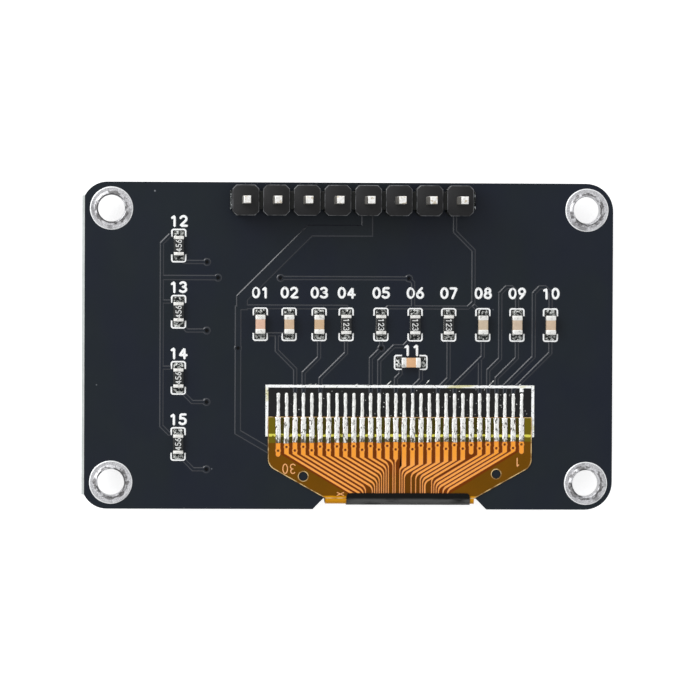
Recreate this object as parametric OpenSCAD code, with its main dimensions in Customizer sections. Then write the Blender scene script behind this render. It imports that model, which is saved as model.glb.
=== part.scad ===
// Small OLED display module: a notched circuit board with a glass panel on its front,
// an eight-way pin header, fifteen chip parts, and the panel's thirty-way flexible tail,
// which folds round the notch and is soldered to the board's back.
// The module lies on its display face. X runs along the board, Y up its face,
// and Z out of its back, with zero under the middle of the board.

/* [Board] */
// Length of the circuit board
board_length = 44; // [42:0.5:60]
// Height of the circuit board
board_height = 27.2; // [26:0.1:36]
// Thickness of the circuit board
board_thickness = 1.6; // [0.8:0.1:2.4]
// Radius of the board's corners
board_corner_r = 2.3; // [0.5:0.1:3]
// How far the rib of the snapped edge stands out
snap_rib_reach = 0.23; // [0.05:0.01:0.4]
// Width of the notch at the board's edge
notch_mouth = 14.5; // [13.5:0.1:18]
// Width of the notch at its floor
notch_floor = 12.75; // [12.5:0.05:13.4]
// Depth of the notch
notch_depth = 0.9; // [0.5:0.1:1.5]

/* [Mounting holes] */
// Bore of each plated mounting hole
hole_d = 2.2; // [1.6:0.1:2.6]
// Diameter of the tinned pad round each hole
hole_pad_d = 3.6; // [3.2:0.1:4]
// Distance from a hole's centre to the board's edges
hole_inset = 2.2; // [2.1:0.1:3]
// Height of the rolled lip of tin round each hole
tin_lip = 0.12; // [0.05:0.01:0.2]

/* [Copper and print] */
// Thickness of the copper, plating and lands
copper = 0.035; // [0.02:0.005:0.07]
// Width of a plain track
track_width = 0.25; // [0.15:0.01:0.35]
// Width of the supply track
supply_width = 0.88; // [0.4:0.02:1.2]
// Diameter of the ring round a via
via_ring_d = 0.56; // [0.4:0.02:0.7]
// Diameter of the dimple in a via
via_dimple_d = 0.24; // [0.16:0.02:0.3]
// Line width of the printed outlines round the chips
print_line = 0.12; // [0.08:0.01:0.2]
// How far the printing stands above the board
print_height = 0.05; // [0.04:0.01:0.1]

/* [Pin header] */
// Distance between pins
pin_pitch = 2.54; // [2.3:0.02:2.54]
// Width of each square pin
pin_width = 0.64; // [0.5:0.02:0.66]
// Length of the pins above the header's body
pin_reach = 6; // [4:0.5:12]
// How far the pins stand out of the board's front
pin_stub = 1.35; // [1.1:0.05:1.5]
// Size of the header's body across the board and in height
header_depth = 2.54; // [2:0.02:2.6]
// Width of one header cell between its notches
header_cell = 2.2; // [1.9:0.05:2.25]
// Chamfer of each cell's corners
header_chamfer = 0.5; // [0.2:0.05:0.6]
// Distance from the pins to the board's top edge
header_inset = 1.5; // [1.4:0.1:2]
// Offset of the header from the middle of the board
header_x = 0.2; // [-2:0.1:2]
// Bore of the holes that the pins are soldered in
pin_hole_d = 1; // [0.95:0.01:1.1]
// Diameter of the solder pad round each pin
pin_pad_d = 1.7; // [1.5:0.1:1.8]

/* [Chip parts] */
// Length of a chip
chip_length = 1.6; // [1.4:0.05:1.7]
// Width of a chip
chip_width = 0.8; // [0.6:0.05:0.85]
// Height of a capacitor
capacitor_height = 0.8; // [0.5:0.05:0.9]
// Height of a resistor
resistor_height = 0.45; // [0.35:0.05:0.6]
// Length of the metal end of a chip
chip_terminal = 0.35; // [0.2:0.01:0.4]
// Length of a land for a chip
land_length = 0.7; // [0.6:0.05:0.75]
// Reach and height of the solder at a chip's end
chip_fillet = 0.34; // [0.2:0.02:0.4]
// Distance from the tail's printed frame up to the row of chips
row_rise = 5.05; // [4.6:0.05:6]
// Distance from the snapped edge to the column of resistors
column_inset = 7.8; // [6.5:0.1:9]
// Distance from the board's top edge to the first resistor of the column
column_drop = 5.3; // [4.5:0.1:6]
// Distance between the resistors of the column
column_pitch = 5.5; // [4:0.1:6]

/* [Display panel] */
// Offset of the panel and its tail from the middle of the board
panel_x = 4.27; // [3.5:0.01:4.6]
// Length of the display glass
glass_length = 26.7; // [24:0.1:26.9]
// Height of the display glass
glass_height = 19.26; // [17:0.02:20]
// Thickness of the display glass
glass_thickness = 0.55; // [0.4:0.05:0.8]
// Thickness of the cap glass behind it
cap_thickness = 0.67; // [0.4:0.01:0.8]
// Height of the ledge that the cap glass leaves free
ledge_height = 4; // [3.5:0.1:4.5]
// Thickness of the polarising film on the panel's face
polariser_thickness = 0.2; // [0.1:0.05:0.3]
// Thickness of the foam tape that holds the panel
foam_thickness = 0.5; // [0.3:0.05:1]
// Length of the driver chip on the ledge
driver_length = 6.76; // [5:0.02:9]

/* [Flexible tail] */
// Distance between fingers
tail_pitch = 0.7; // [0.66:0.01:0.7]
// Width of the tail where it is soldered
tail_width = 22; // [21.2:0.1:23]
// Width of the neck that folds round the board
neck_width = 12.4; // [11.4:0.1:12.4]
// Distance from the fold to the tail's soldered end
tail_reach = 6.8; // [6.6:0.1:7.5]
// Height of the shoulders between the fold and the straight sides
shoulder_height = 2.7; // [2.4:0.1:3]
// Thickness of the tail
tail_thickness = 0.1; // [0.06:0.01:0.2]
// Inner radius of the fold
fold_r = 0.35; // [0.25:0.01:0.4]
// Width of a finger
finger_width = 0.42; // [0.3:0.01:0.45]
// Height of the tracks in the tail
tail_track_height = 0.02; // [0.01:0.005:0.04]
// Width of a track where it crosses the neck
lane_width = 0.11; // [0.08:0.01:0.14]
// Distance between two lanes in the neck
lane_pitch = 0.19; // [0.16:0.01:0.2]
// Angle at which the tracks run in to the neck
fan_angle = 31; // [28:1:32]
// Diameter of each locating hole in the tail
locating_d = 0.75; // [0.5:0.05:1]
// Width of the tape over the fold
tape_width = 10.3; // [9:0.1:11]
// Thickness of the tape over the fold
tape_thickness = 0.07; // [0.04:0.01:0.1]

/* [Hidden] */
$fn = 48;
// Pins in the header, and fingers on the tail
pin_count = 8;
tail_ways = 30;
// A hair's width that joins two solids of one piece
bite = 0.05;
// Clearance all round a pin in the header's plastic
pin_clearance = 0.01;
// Far enough to cut right through anything
beyond = 5;

// Levels of the stack, from the face that the module lies on upwards
glass_z = polariser_thickness;
ledge_z = glass_z + glass_thickness;
foam_z = ledge_z + cap_thickness;
board_front_z = foam_z + foam_thickness;
board_back_z = board_front_z + board_thickness;
land_z = board_back_z + copper;
tail_top_z = land_z + tail_thickness;
track_top_z = tail_top_z + tail_track_height;

// Places across the board
top_edge = board_height / 2;
left_edge = -board_length / 2;
fold_y = notch_depth - board_height / 2;
tail_end_y = fold_y + tail_reach;
header_y = top_edge - header_inset;
glass_setback = 0.8;
glass_edge_y = fold_y + glass_setback;
glass_y = glass_edge_y + glass_height / 2;

// The printed frame round the tail's lands, and the lands inside it
frame_width = tail_width + 0.4;
frame_height = 4.3;
frame_line = 0.22;
frame_top_y = tail_end_y + 2.65;
lands_top_y = frame_top_y - 0.66;
land_under_tail = 1.7;
land_width = 0.27;

// Chips: the row's places run from left to right
row_y = frame_top_y + row_rise;
capacitor_row_x = [-7.4, -5, -2.5, 11.15, 14, 16.8];
resistor_row_x = [-0.25, 2.65, 5.5, 8.3];
crosswise_place = [5.15, row_y - 3.15, 90];
column_x = left_edge + column_inset;
column_y = top_edge - column_drop;
capacitor_places = concat([for (x = capacitor_row_x) [x, row_y, 0]], [crosswise_place]);
resistor_places = concat(
    [for (x = resistor_row_x) [x, row_y, 0]],
    [for (k = [0 : 3]) [column_x, column_y - k * column_pitch, 0]]);
chip_places = concat(capacitor_places, resistor_places);
land_offset = chip_length / 2 + 0.05;
outline_length = chip_length + 1.2;
outline_width = chip_width + 0.46;
outline_arm = 0.66;

// Centre of the land at one end of a chip; end is 1 or -1
function land(place, end) = [
    place[0] - end * land_offset * sin(place[2]),
    place[1] + end * land_offset * cos(place[2])];

// Middle of a finger of the tail, and of its land, counted from the right
function finger_x(n) = panel_x + ((tail_ways + 1) / 2 - n) * tail_pitch;
function tail_land(n) = [finger_x(n), lands_top_y];
function pin_x(n) = header_x + (n - (pin_count + 1) / 2) * pin_pitch;

// ---- Lines of copper and ink ----

function unit(v) = v / norm(v);
function left_of(v) = [-v[1], v[0]];

// Point i of a path, moved sideways and mitred where the path bends
function beside(path, i, shift) =
    let (
        last = len(path) - 1,
        a = max(i, 1),
        b = min(i, last - 1),
        before = left_of(unit(path[a] - path[a - 1])),
        after = left_of(unit(path[b + 1] - path[b])),
        across = unit(before + after))
    path[i] + across * shift / (across * before);

// Outline of a line of one width along a path
function stroke(path, width) = concat(
    [for (i = [0 : len(path) - 1]) beside(path, i, -width / 2)],
    [for (i = [len(path) - 1 : -1 : 0]) beside(path, i, width / 2)]);

// Arc that rounds the corner b between a and c
function corner_arc(a, b, c, r, steps) =
    let (
        u = unit(a - b),
        v = unit(c - b),
        half = acos(u * v) / 2,
        centre = b + unit(u + v) * r / sin(half),
        start = b + u * r / tan(half) - centre,
        from = atan2(start[1], start[0]),
        turn = -sign(cross(u, v)) * (180 - 2 * half))
    [for (k = [0 : steps]) centre + r * [cos(from + turn * k / steps), sin(from + turn * k / steps)]];

// A path with all its inner corners rounded
function rounded(path, r, steps = 4) = concat(
    [path[0]],
    [for (i = [1 : len(path) - 2]) each corner_arc(path[i - 1], path[i], path[i + 1], r, steps)],
    [path[len(path) - 1]]);

module rounded_rectangle(length, height, r) {
    square([length, height - 2 * r], center = true);
    square([length - 2 * r, height], center = true);
    for (x = [-1, 1], y = [-1, 1])
        translate([x * (length / 2 - r), y * (height / 2 - r)])
            circle(r);
}

// ---- Board ----

module at_mounting_holes() {
    for (x = [-1, 1], y = [-1, 1])
        translate([x * (board_length / 2 - hole_inset), y * (top_edge - hole_inset)])
            children();
}

module at_pins() {
    for (n = [1 : pin_count])
        translate([pin_x(n), header_y])
            children();
}

module at_place(place) {
    translate([place[0], place[1]])
        rotate(place[2])
            children();
}

module board_outline() {
    difference() {
        rounded_rectangle(board_length, board_height, board_corner_r);
        translate([panel_x, -top_edge])
            polygon([
                [-notch_mouth / 2 - bite, -bite], [-notch_floor / 2, notch_depth],
                [notch_floor / 2, notch_depth], [notch_mouth / 2 + bite, -bite]]);
        at_mounting_holes() circle(d = hole_d + 2 * copper);
        at_pins() circle(d = pin_hole_d + 2 * copper);
    }
}

// The rib of bare laminate that is left where the board was snapped off its panel
module snap_rib() {
    length = board_height - board_corner_r;
    foot = 0.36 * board_thickness;
    crest = 0.2 * board_thickness;
    translate([left_edge, length / 2, board_front_z + board_thickness / 2])
        rotate([90, 0, 0])
            linear_extrude(length)
                polygon([
                    [bite, -foot], [0, -foot], [-snap_rib_reach, -crest],
                    [-snap_rib_reach, crest], [0, foot], [bite, foot]]);
}

module board() {
    color("#1d2027") {
        translate([0, 0, board_front_z])
            linear_extrude(board_thickness)
                board_outline();
        snap_rib();
    }
}

// Half of a plated hole's section above one face: the flat pad, and a rolled lip of tin
module pad_section(bore_d, pad_d, lip) {
    rim = bore_d / 2;
    translate([rim, 0])
        square([(pad_d - bore_d) / 2, copper]);
    if (lip > 0)
        translate([rim, copper])
            intersection() {
                circle(lip);
                square(lip);
            }
}

module plated_hole(bore_d, pad_d, lip) {
    rotate_extrude() {
        translate([bore_d / 2, board_front_z]) square([copper, board_thickness]);
        translate([0, board_back_z]) pad_section(bore_d, pad_d, lip);
        translate([0, board_front_z]) mirror([0, 1]) pad_section(bore_d, pad_d, lip);
    }
}

module hole_platings() {
    color("#c9c9c9")
        at_mounting_holes()
            plated_hole(hole_d, hole_pad_d, tin_lip);
}

module header_platings() {
    color("#c2b280")
        at_pins()
            plated_hole(pin_hole_d, pin_pad_d, 0);
}

// ---- Tracks ----

// From a land straight down, across at 45 degrees, and down to a land of the tail
function drop(from, knee, n) =
    let (to = tail_land(n), x = from[0], y = row_y - knee)
    [from, [x, y], [to[0], y - abs(to[0] - x)], to];

// From a chip's upper land up, over and down beside it, then on to a land of the tail
function loop_over(place, knee, n) =
    let (
        start = land(place, 1),
        x = place[0] - 1.4,
        to = tail_land(n),
        crest = row_y + 3.15,
        y = row_y - knee)
    [
        start, [start[0], crest - 0.45], [start[0] - 0.45, crest], [x + 0.5, crest],
        [x, crest - 0.5], [x, y], [to[0], y - abs(to[0] - x)], to];

// From a resistor of the column, down at 45 degrees and across to its via
function to_via(k, fall) =
    let (from = land(resistor_places[4 + k], -1))
    [from, from + [fall, -fall], [column_vias_x, from[1] - fall]];

bus_x = column_x - 1.4;
bus_tap = 4.67;
column_vias_x = column_x + 2.35;
via_falls = [0.5, 0.7, 1.15, 1.25];
supply_x = -8.93;
supply_y = header_y - 2.5;
supply_pin = 5;
// Both ends of the long track above the row, and how far it lies from the top edge
sense_ends = [-5.73, 4.97];
sense_drop = 7.95;
sense_y = top_edge - sense_drop;
// Where the ground track climbs to the last pin, and where one track jogs aside
ground_x = 10.35;
jog_x = 3.75;
// The rails over the row run just clear of its lands
rail_rise = 1.44;
// The one via beside the row, and the fork of two tracks between the first capacitors
row_via = [2.68, row_y - 1.97];
fork_x = -6.02;

plain_routes = [
    [land(capacitor_places[0], -1), land(capacitor_places[1], -1)],
    drop([fork_x, land(capacitor_places[0], -1)[1]], 2.2, 28),
    drop(land(capacitor_places[2], -1), 2.76, 27),
    drop(land(resistor_places[0], -1), 2.38, 25),
    [land(resistor_places[1], -1), row_via],
    drop(row_via, 1.971, 19),
    let (from = land(resistor_places[2], -1), to = tail_land(18), y = row_y - 1.8)
        [from, [from[0] + y - from[1], y], [jog_x, y], [to[0], y - jog_x + to[0]], to],
    drop(land(crosswise_place, 1), 4.1, 16),
    drop(land(crosswise_place, -1), 4.55, 14),
    drop(land(resistor_places[3], -1), 4.47, 11),
    drop(land(capacitor_places[3], -1), 2.64, 9),
    [[finger_x(6), row_y - 2.95], tail_land(6)],
    loop_over(capacitor_places[4], 2.8, 5),
    drop(land(capacitor_places[4], -1), 2.75, 4),
    loop_over(capacitor_places[5], 2.66, 3),
    drop(land(capacitor_places[5], -1), 2.32, 2),
    let (first = land(resistor_places[1], 1), y = row_y + rail_rise, x = ground_x)
        [
            first, [first[0] + y - first[1], y], [x - 0.45, y], [x, y + 0.45],
            [x, supply_y - 1.6], [x - 1.56, supply_y - 0.04],
            [x - 1.56, header_y - 1.2], [pin_x(pin_count), header_y - 0.6],
            [pin_x(pin_count), header_y]],
    [land(resistor_places[3], 1), [resistor_row_x[3], row_y + rail_rise]],
    let (from = land(capacitor_places[3], 1), reach = from[0] - ground_x)
        [from, from + [-reach, reach]],
    let (from = land(resistor_places[2], 1), x = sense_ends[1], bend = 0.35)
        [from, [x + bend, from[1]], [x + bend, sense_y - bend], [x, sense_y]],
    [for (x = sense_ends) [x, sense_y]],
    let (a = land(resistor_places[4], 1), b = land(resistor_places[7], 1), turn = 0.65)
        [
            a, [bus_x + turn, a[1]], [bus_x, a[1] - turn],
            [bus_x, b[1] + turn], [bus_x + turn, b[1]], b],
    for (k = [5, 6]) [[bus_x, land(resistor_places[k], 1)[1]], land(resistor_places[k], 1)],
    for (k = [0 : 3]) to_via(k, via_falls[k])
];

// Wider tracks, each as its width and its path
wide_routes = [
    [supply_width, [
        [pin_x(supply_pin), header_y], [pin_x(supply_pin), supply_y],
        [supply_x + supply_y - row_y - 2.17, supply_y], [supply_x, row_y + 2.17],
        [supply_x, row_y + 1.2]]],
    [track_width + 0.05, [
        [supply_x, row_y + rail_rise], [resistor_row_x[0], row_y + rail_rise]]],
    [track_width, [
        [resistor_row_x[0], row_y + rail_rise + track_width / 2], land(resistor_places[0], 1)]],
    [0.45, [
        [supply_x - 0.32, row_y + 1.5], [supply_x - 0.32, tail_end_y - 1.3],
        [supply_x + 2.7, tail_end_y - 3.05]]],
    [0.35, [[bus_x, sense_y], [bus_x + bus_tap, sense_y]]]
];

vias = concat(
    [for (k = [0 : 3]) to_via(k, via_falls[k])[2]],
    [
        row_via, [sense_ends[0], sense_y], [sense_ends[1], sense_y],
        [bus_x + bus_tap, sense_y], [supply_x - 0.32, row_y - 2]]);

module track_pattern() {
    difference() {
        union() {
            for (path = plain_routes) polygon(stroke(path, track_width));
            for (route = wide_routes) polygon(stroke(route[1], route[0]));
            for (via = vias) translate(via) circle(d = via_ring_d);
        }
        for (via = vias) translate(via) circle(d = via_dimple_d);
        at_land_places() chip_land();
        tail_land_pattern();
        at_pins() circle(d = pin_pad_d);
    }
}

module board_tracks() {
    color("#262a33")
        translate([0, 0, board_back_z])
            linear_extrude(copper)
                track_pattern();
}

// ---- Lands and print ----

module at_land_places() {
    for (place = chip_places, end = [-1, 1])
        at_place(place)
            translate([0, end * land_offset])
                children();
}

module chip_land() {
    square([chip_width + 0.05, land_length], center = true);
}

module tail_land_pattern() {
    length = lands_top_y - tail_end_y + land_under_tail;
    for (n = [1 : tail_ways])
        translate([finger_x(n) - land_width / 2, lands_top_y - length])
            square([land_width, length]);
}

module chip_lands() {
    color("#b9b29a")
        translate([0, 0, board_back_z])
            linear_extrude(copper)
                at_land_places() chip_land();
}

module tail_lands() {
    color("#c9c4b0")
        translate([0, 0, board_back_z])
            linear_extrude(copper)
                tail_land_pattern();
}

// A pair of brackets round a chip
module chip_outline() {
    x = (outline_width - print_line) / 2;
    y = (outline_length - print_line) / 2;
    arm = outline_length / 2 - outline_arm;
    bracket = rounded([[-x, arm], [-x, y], [x, y], [x, arm]], 0.16);
    polygon(stroke(bracket, print_line));
    mirror([0, 1]) polygon(stroke(bracket, print_line));
}

module tail_frame() {
    marker = 0.32;
    translate([panel_x, frame_top_y - frame_height / 2])
        difference() {
            square([frame_width, frame_height], center = true);
            square([frame_width - 2 * frame_line, frame_height - 2 * frame_line], center = true);
        }
    translate([finger_x(1) - marker / 2, frame_top_y - frame_line - marker])
        square(marker);
}

module printed_outlines() {
    color("#e8e8e4")
        difference() {
            translate([0, 0, board_back_z])
                linear_extrude(print_height) {
                    for (place = chip_places) at_place(place) chip_outline();
                    tail_frame();
                }
            translate([0, 0, board_back_z - bite])
                linear_extrude(copper + bite)
                    track_pattern();
            tail_cover();
        }
}

// Space that the tail takes above the board, kept free of print
module tail_cover() {
    translate([panel_x - tail_width / 2, fold_y, land_z])
        cube([tail_width, tail_reach, beyond]);
}

// ---- Pin header ----

// One cell's plan: a square with chamfered corners
module cell_plan() {
    x = header_cell / 2;
    y = header_depth / 2;
    c = header_chamfer;
    polygon([
        [x, y - c], [x - c, y], [c - x, y], [-x, y - c],
        [-x, c - y], [c - x, -y], [x - c, -y], [x, c - y]]);
}

module header_body() {
    web_depth = header_depth - 2 * header_chamfer;
    web_drop = 0.3;
    width = pin_width + 2 * pin_clearance;
    color("#222224")
        translate([0, header_y, land_z])
            difference() {
                union() {
                    for (n = [1 : pin_count])
                        translate([pin_x(n), 0])
                            linear_extrude(header_depth)
                                cell_plan();
                    translate([pin_x(1) - pin_pitch / 2, -web_depth / 2])
                        cube([pin_count * pin_pitch, web_depth, header_depth - web_drop]);
                }
                for (n = [1 : pin_count])
                    translate([pin_x(n) - width / 2, -width / 2, -bite])
                        cube([width, width, header_depth + 2 * bite]);
            }
}

// Side view of a pin, with both ends drawn down to a blunt tip
module pin_side() {
    taper = 0.25;
    half = pin_width / 2;
    tip = 0.86 * half;
    low = board_front_z - pin_stub;
    high = land_z + header_depth + pin_reach;
    polygon([
        [-tip, low], [tip, low], [half, low + taper], [half, high - taper],
        [tip, high], [-tip, high], [-half, high - taper], [-half, low + taper]]);
}

module header_pin(n) {
    color("#d8d2bd")
        translate([pin_x(n), header_y])
            intersection() {
                rotate([90, 0, 0])
                    linear_extrude(pin_width, center = true) pin_side();
                rotate([90, 0, 90])
                    linear_extrude(pin_width, center = true) pin_side();
            }
}

// Solder that fills each plated hole and rises up the pin on the board's front
module header_solder() {
    height = 0.75 * pin_stub;
    neck = pin_width * 0.62;
    foot = pin_pad_d / 2 - 0.05;
    face = board_front_z - copper;
    steps = 6;
    color("#bdbdbd")
        difference() {
            at_pins()
                rotate_extrude() {
                    translate([0, face - bite])
                        square([pin_hole_d / 2, land_z - face + bite]);
                    polygon(concat(
                        [[0, face], [foot, face]],
                        [for (k = [1 : steps])
                            [foot - (foot - neck) * sin(90 * k / steps),
                             face - height * (1 - cos(90 * k / steps))]],
                        [[0, face - height]]));
                }
            translate([0, 0, face - height - bite])
                linear_extrude(land_z - face + height + 2 * bite)
                    at_pins() square(pin_width, center = true);
        }
}

// ---- Chips ----

// A capacitor: a brick of ceramic with metal ends that stand a little proud
module capacitor(place) {
    proud = 0.02;
    translate([0, 0, land_z])
        at_place(place) {
            color("#c9a27e")
                translate([-chip_width / 2 + proud, -chip_length / 2 + proud, proud])
                    cube([chip_width - 2 * proud, chip_length - 2 * proud,
                        capacitor_height - 2 * proud]);
            color("#cfcfcd")
                for (y = [-chip_length / 2, chip_length / 2 - chip_terminal])
                    translate([-chip_width / 2, y, 0])
                        cube([chip_width, chip_terminal, capacitor_height]);
        }
}

// A resistor: a slip of ceramic, a dark glaze over its top, and thin metal ends
module resistor(place) {
    proud = 0.02;
    glaze = 0.04;
    terminal = 0.75 * chip_terminal;
    translate([0, 0, land_z])
        at_place(place) {
            color("#d9d6cc")
                translate([-chip_width / 2, -chip_length / 2 + proud, proud])
                    cube([chip_width, chip_length - 2 * proud, resistor_height - glaze - proud]);
            color("#18181a")
                translate([-chip_width / 2 + proud, terminal - chip_length / 2,
                    resistor_height - glaze])
                    cube([chip_width - 2 * proud, chip_length - 2 * terminal, glaze]);
            color("#cfcfcd")
                for (y = [-chip_length / 2, chip_length / 2 - terminal])
                    translate([-chip_width / 2, y, 0])
                        cube([chip_width, terminal, resistor_height - glaze / 2]);
        }
}

// Hollow fillets of solder from each chip's end down to its land
module chip_solder() {
    steps = 6;
    width = chip_width - 0.05;
    color("#aeb0b2")
        for (place = chip_places, end = [0, 180])
            translate([0, 0, land_z])
                at_place(place)
                    rotate([90, 0, 90 + end])
                        translate([chip_length / 2, 0, -width / 2])
                            linear_extrude(width)
                                polygon(concat(
                                    [[0, 0]],
                                    [for (k = [0 : steps])
                                        chip_fillet * [1 - sin(90 * k / steps),
                                            1 - cos(90 * k / steps)]]));
}

// ---- Flexible tail ----

// Lanes that the tracks take in the neck, from finger 1 on, counted from the middle
// in lane pitches; a finger with no lane is a dummy and ends in a short stub
finger_lanes = [
    undef, 21, 19, 17, 16, 15, undef, 14, 10, 9, 7, 5, 2, 1, 0,
    -2, -3, -5, -6, -7, -8, -9, -10, -11, -12, -15, -16, -17, -18, undef];
// Finger 8 forks and takes this lane as well
fork_finger = 8;
fork_lane = 11;
// The fingers' turning points fall from the outer ones towards the middle, and by one
// larger step past the dummy finger on the right
outer_turn = 2.95;
inner_finger = 15;
turn_step_right = 0.07;
turn_step_left = 0.042;
right_dummy = 7;
dummy_step = 0.24;
stub_length = 3;
// The printed pattern lies a little askew on the film
pattern_turn = 0.8;
cover_length = 2.03;
lane_bend_r = 0.6;
bulge_d = 0.5;
pinhole_d = 0.17;
locating_x = 8.05;
locating_rise = 1.95;
tape_shift = 0.7;

function lane_x(lane) = panel_x + lane_pitch * lane;
function askew(x) = (x - panel_x) * tan(pattern_turn);

function turn_y(n) = tail_end_y + askew(finger_x(n)) - outer_turn - (n <= inner_finger
    ? (n - 2) * turn_step_right + (n > right_dummy ? dummy_step : 0)
    : (tail_ways - 1 - n) * turn_step_left);

// The bend into a lane, which is tighter where there is little room for it
function lane_bend(from, to, r) =
    let (
        run = abs(to - from[0]),
        corner = [to, from[1] - run * tan(fan_angle)],
        room = min(run, corner[1] - fold_y))
    corner_arc(from, corner, [to, fold_y], min(r, 1.2 * room), 5);

// A finger's middle line: down the finger, in at the fan's angle, and down its lane.
// A finger that stands over its lane only narrows into it
function finger_path(n, lane) =
    let (
        x = finger_x(n),
        y = turn_y(n),
        to = lane_x(lane),
        over = abs(to - x) < finger_width / 2,
        neck = 0.3)
    concat(
        [[x, tail_end_y], [x, y]],
        over ? [[x, y - neck / 3], [to, y - neck]] : lane_bend([x, y], to, lane_bend_r),
        [[to, fold_y]]);

// The second leg of a forked finger leaves its slanted stretch
function fork_path(n, lane) =
    let (
        x = finger_x(n),
        to = lane_x(lane),
        start = to + 1.1,
        from = [start, turn_y(n) - (x - start) * tan(fan_angle)])
    concat([from], lane_bend(from, to, lane_bend_r), [[to, fold_y]]);

// One edge of a finger: its two outer points lie level, and it narrows through the bend
function finger_edge(path, side) =
    let (last = len(path) - 1, slant_width = finger_width * sin(fan_angle))
    [for (i = [0 : last])
        i < 2
            ? path[i] + [side * finger_width / 2, 0]
            : beside(path, i, side / 2 * (slant_width
                + (lane_width - slant_width) * min((i - 2) / (last - 3), 1)))];

function reversed(list) = [for (i = [len(list) - 1 : -1 : 0]) list[i]];

module finger(n, lane) {
    path = finger_path(n, lane);
    polygon(concat(finger_edge(path, -1), reversed(finger_edge(path, 1))));
}

module stub(n) {
    length = stub_length - askew(finger_x(n));
    translate([finger_x(n), tail_end_y - length]) {
        translate([-finger_width / 2, 0]) square([finger_width, length]);
        circle(d = finger_width);
    }
}

// Pinholes stand in two staggered rows
function pinhole(n) =
    let (x = finger_x(n), y = tail_end_y - cover_length + askew(x))
    [x, y - (n % 2 == 1 ? 0.36 : 0.66)];

module tail_tracks() {
    color("#e08a2c")
        translate([0, 0, tail_top_z])
            linear_extrude(tail_track_height)
                difference() {
                    union() {
                        for (n = [1 : tail_ways]) {
                            if (is_undef(finger_lanes[n - 1])) stub(n);
                            else finger(n, finger_lanes[n - 1]);
                            translate(pinhole(n)) circle(d = bulge_d);
                        }
                        polygon(stroke(fork_path(fork_finger, fork_lane), 1.5 * lane_width));
                    }
                    for (n = [1 : tail_ways]) translate(pinhole(n)) circle(d = pinhole_d);
                }
}

// Side view of a strip that wraps the fold, a little way outside the tail's inner face
module fold_section(lift, thickness, back_run, ledge_run) {
    inner = fold_r + lift;
    outer = inner + thickness;
    upper = land_z - fold_r;
    lower = ledge_z + tail_thickness + fold_r;
    translate([fold_y, upper])
        intersection() {
            ring(outer, inner);
            translate([-outer, 0]) square(outer);
        }
    translate([fold_y, lower])
        intersection() {
            ring(outer, inner);
            translate([-outer, -outer]) square(outer);
        }
    translate([fold_y - outer, lower]) square([thickness, upper - lower]);
    translate([fold_y, upper + inner]) square([back_run, thickness]);
    if (ledge_run > 0)
        translate([fold_y, lower - outer]) square([ledge_run, thickness]);
}

module ring(outer, inner) {
    difference() {
        circle(outer);
        circle(inner);
    }
}

// Sweep a side view along X, about the panel's middle line
module across_panel(width) {
    translate([panel_x - width / 2, 0, 0])
        rotate([90, 0, 90])
            linear_extrude(width)
                children();
}

module tail_plan() {
    x = tail_width / 2;
    neck = neck_width / 2;
    side_y = fold_y + shoulder_height;
    shoulder = corner_arc([x, tail_end_y], [x, side_y], [neck, fold_y], 1, 6);
    outline = concat([[x, tail_end_y]], shoulder, [[neck, fold_y]]);
    difference() {
        translate([panel_x, 0])
            polygon(concat(outline, reversed([for (p = outline) [-p[0], p[1]]])));
        for (x = [panel_x - locating_x, panel_x + locating_x])
            translate([x, fold_y + locating_rise + askew(x)])
                circle(d = locating_d);
    }
}

module tail() {
    bond = 1.5;
    color("#b4701a") {
        translate([0, 0, land_z])
            linear_extrude(tail_thickness)
                tail_plan();
        across_panel(neck_width)
            fold_section(0, tail_thickness, bite, glass_edge_y + bond - fold_y);
    }
}

// Solder on the tail's lands, stepping up onto the fingers
module tail_solder() {
    bead = 0.06;
    on_finger = 1.5;
    width = finger_width - 0.08;
    top = track_top_z + 0.03;
    color("#c4c4c0")
        for (n = [1 : tail_ways]) {
            translate([finger_x(n) - land_width / 2, 0])
                rotate([90, 0, 90])
                    linear_extrude(land_width)
                        polygon([
                            [lands_top_y, land_z], [lands_top_y - 0.1, land_z + bead],
                            [tail_end_y + 0.4, land_z + bead], [tail_end_y, top],
                            [tail_end_y, land_z]]);
            translate([finger_x(n) - width / 2, tail_end_y - on_finger, track_top_z])
                cube([width, on_finger, top - track_top_z]);
        }
}

module fold_tape() {
    back_run = 0.46;
    color("#151515")
        translate([tape_shift, 0, 0])
            across_panel(tape_width)
                fold_section(tail_thickness + tail_track_height, tape_thickness, back_run, 0);
}

// ---- Display panel ----

module glass_slab(length, height, thickness, z) {
    translate([panel_x - length / 2, glass_y + glass_height / 2 - height, z])
        cube([length, height, thickness]);
}

module polariser() {
    margin = 0.3;
    color("#14161c")
        translate([0, -margin, 0])
            glass_slab(glass_length - 2 * margin, glass_height - ledge_height - margin,
                polariser_thickness, 0);
}

module display_glass() {
    color("#7d8a90")
        glass_slab(glass_length, glass_height, glass_thickness, glass_z);
}

module cap_glass() {
    margin = 0.2;
    color("#5d676c")
        translate([0, -margin, 0])
            glass_slab(glass_length - 2 * margin, glass_height - ledge_height - margin,
                cap_thickness, ledge_z);
}

module driver_chip() {
    setback = 2.2;
    depth = 0.86;
    height = 0.3;
    color("#3a3d42")
        translate([panel_x - driver_length / 2, glass_edge_y + setback, ledge_z])
            cube([driver_length, depth, height]);
}

module foam_tape() {
    margin = 2;
    color("#2b2b2d")
        translate([0, -margin, 0])
            glass_slab(glass_length - 2 * margin, glass_height - ledge_height - 2 * margin,
                foam_thickness, foam_z);
}

// ---- The module ----

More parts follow.
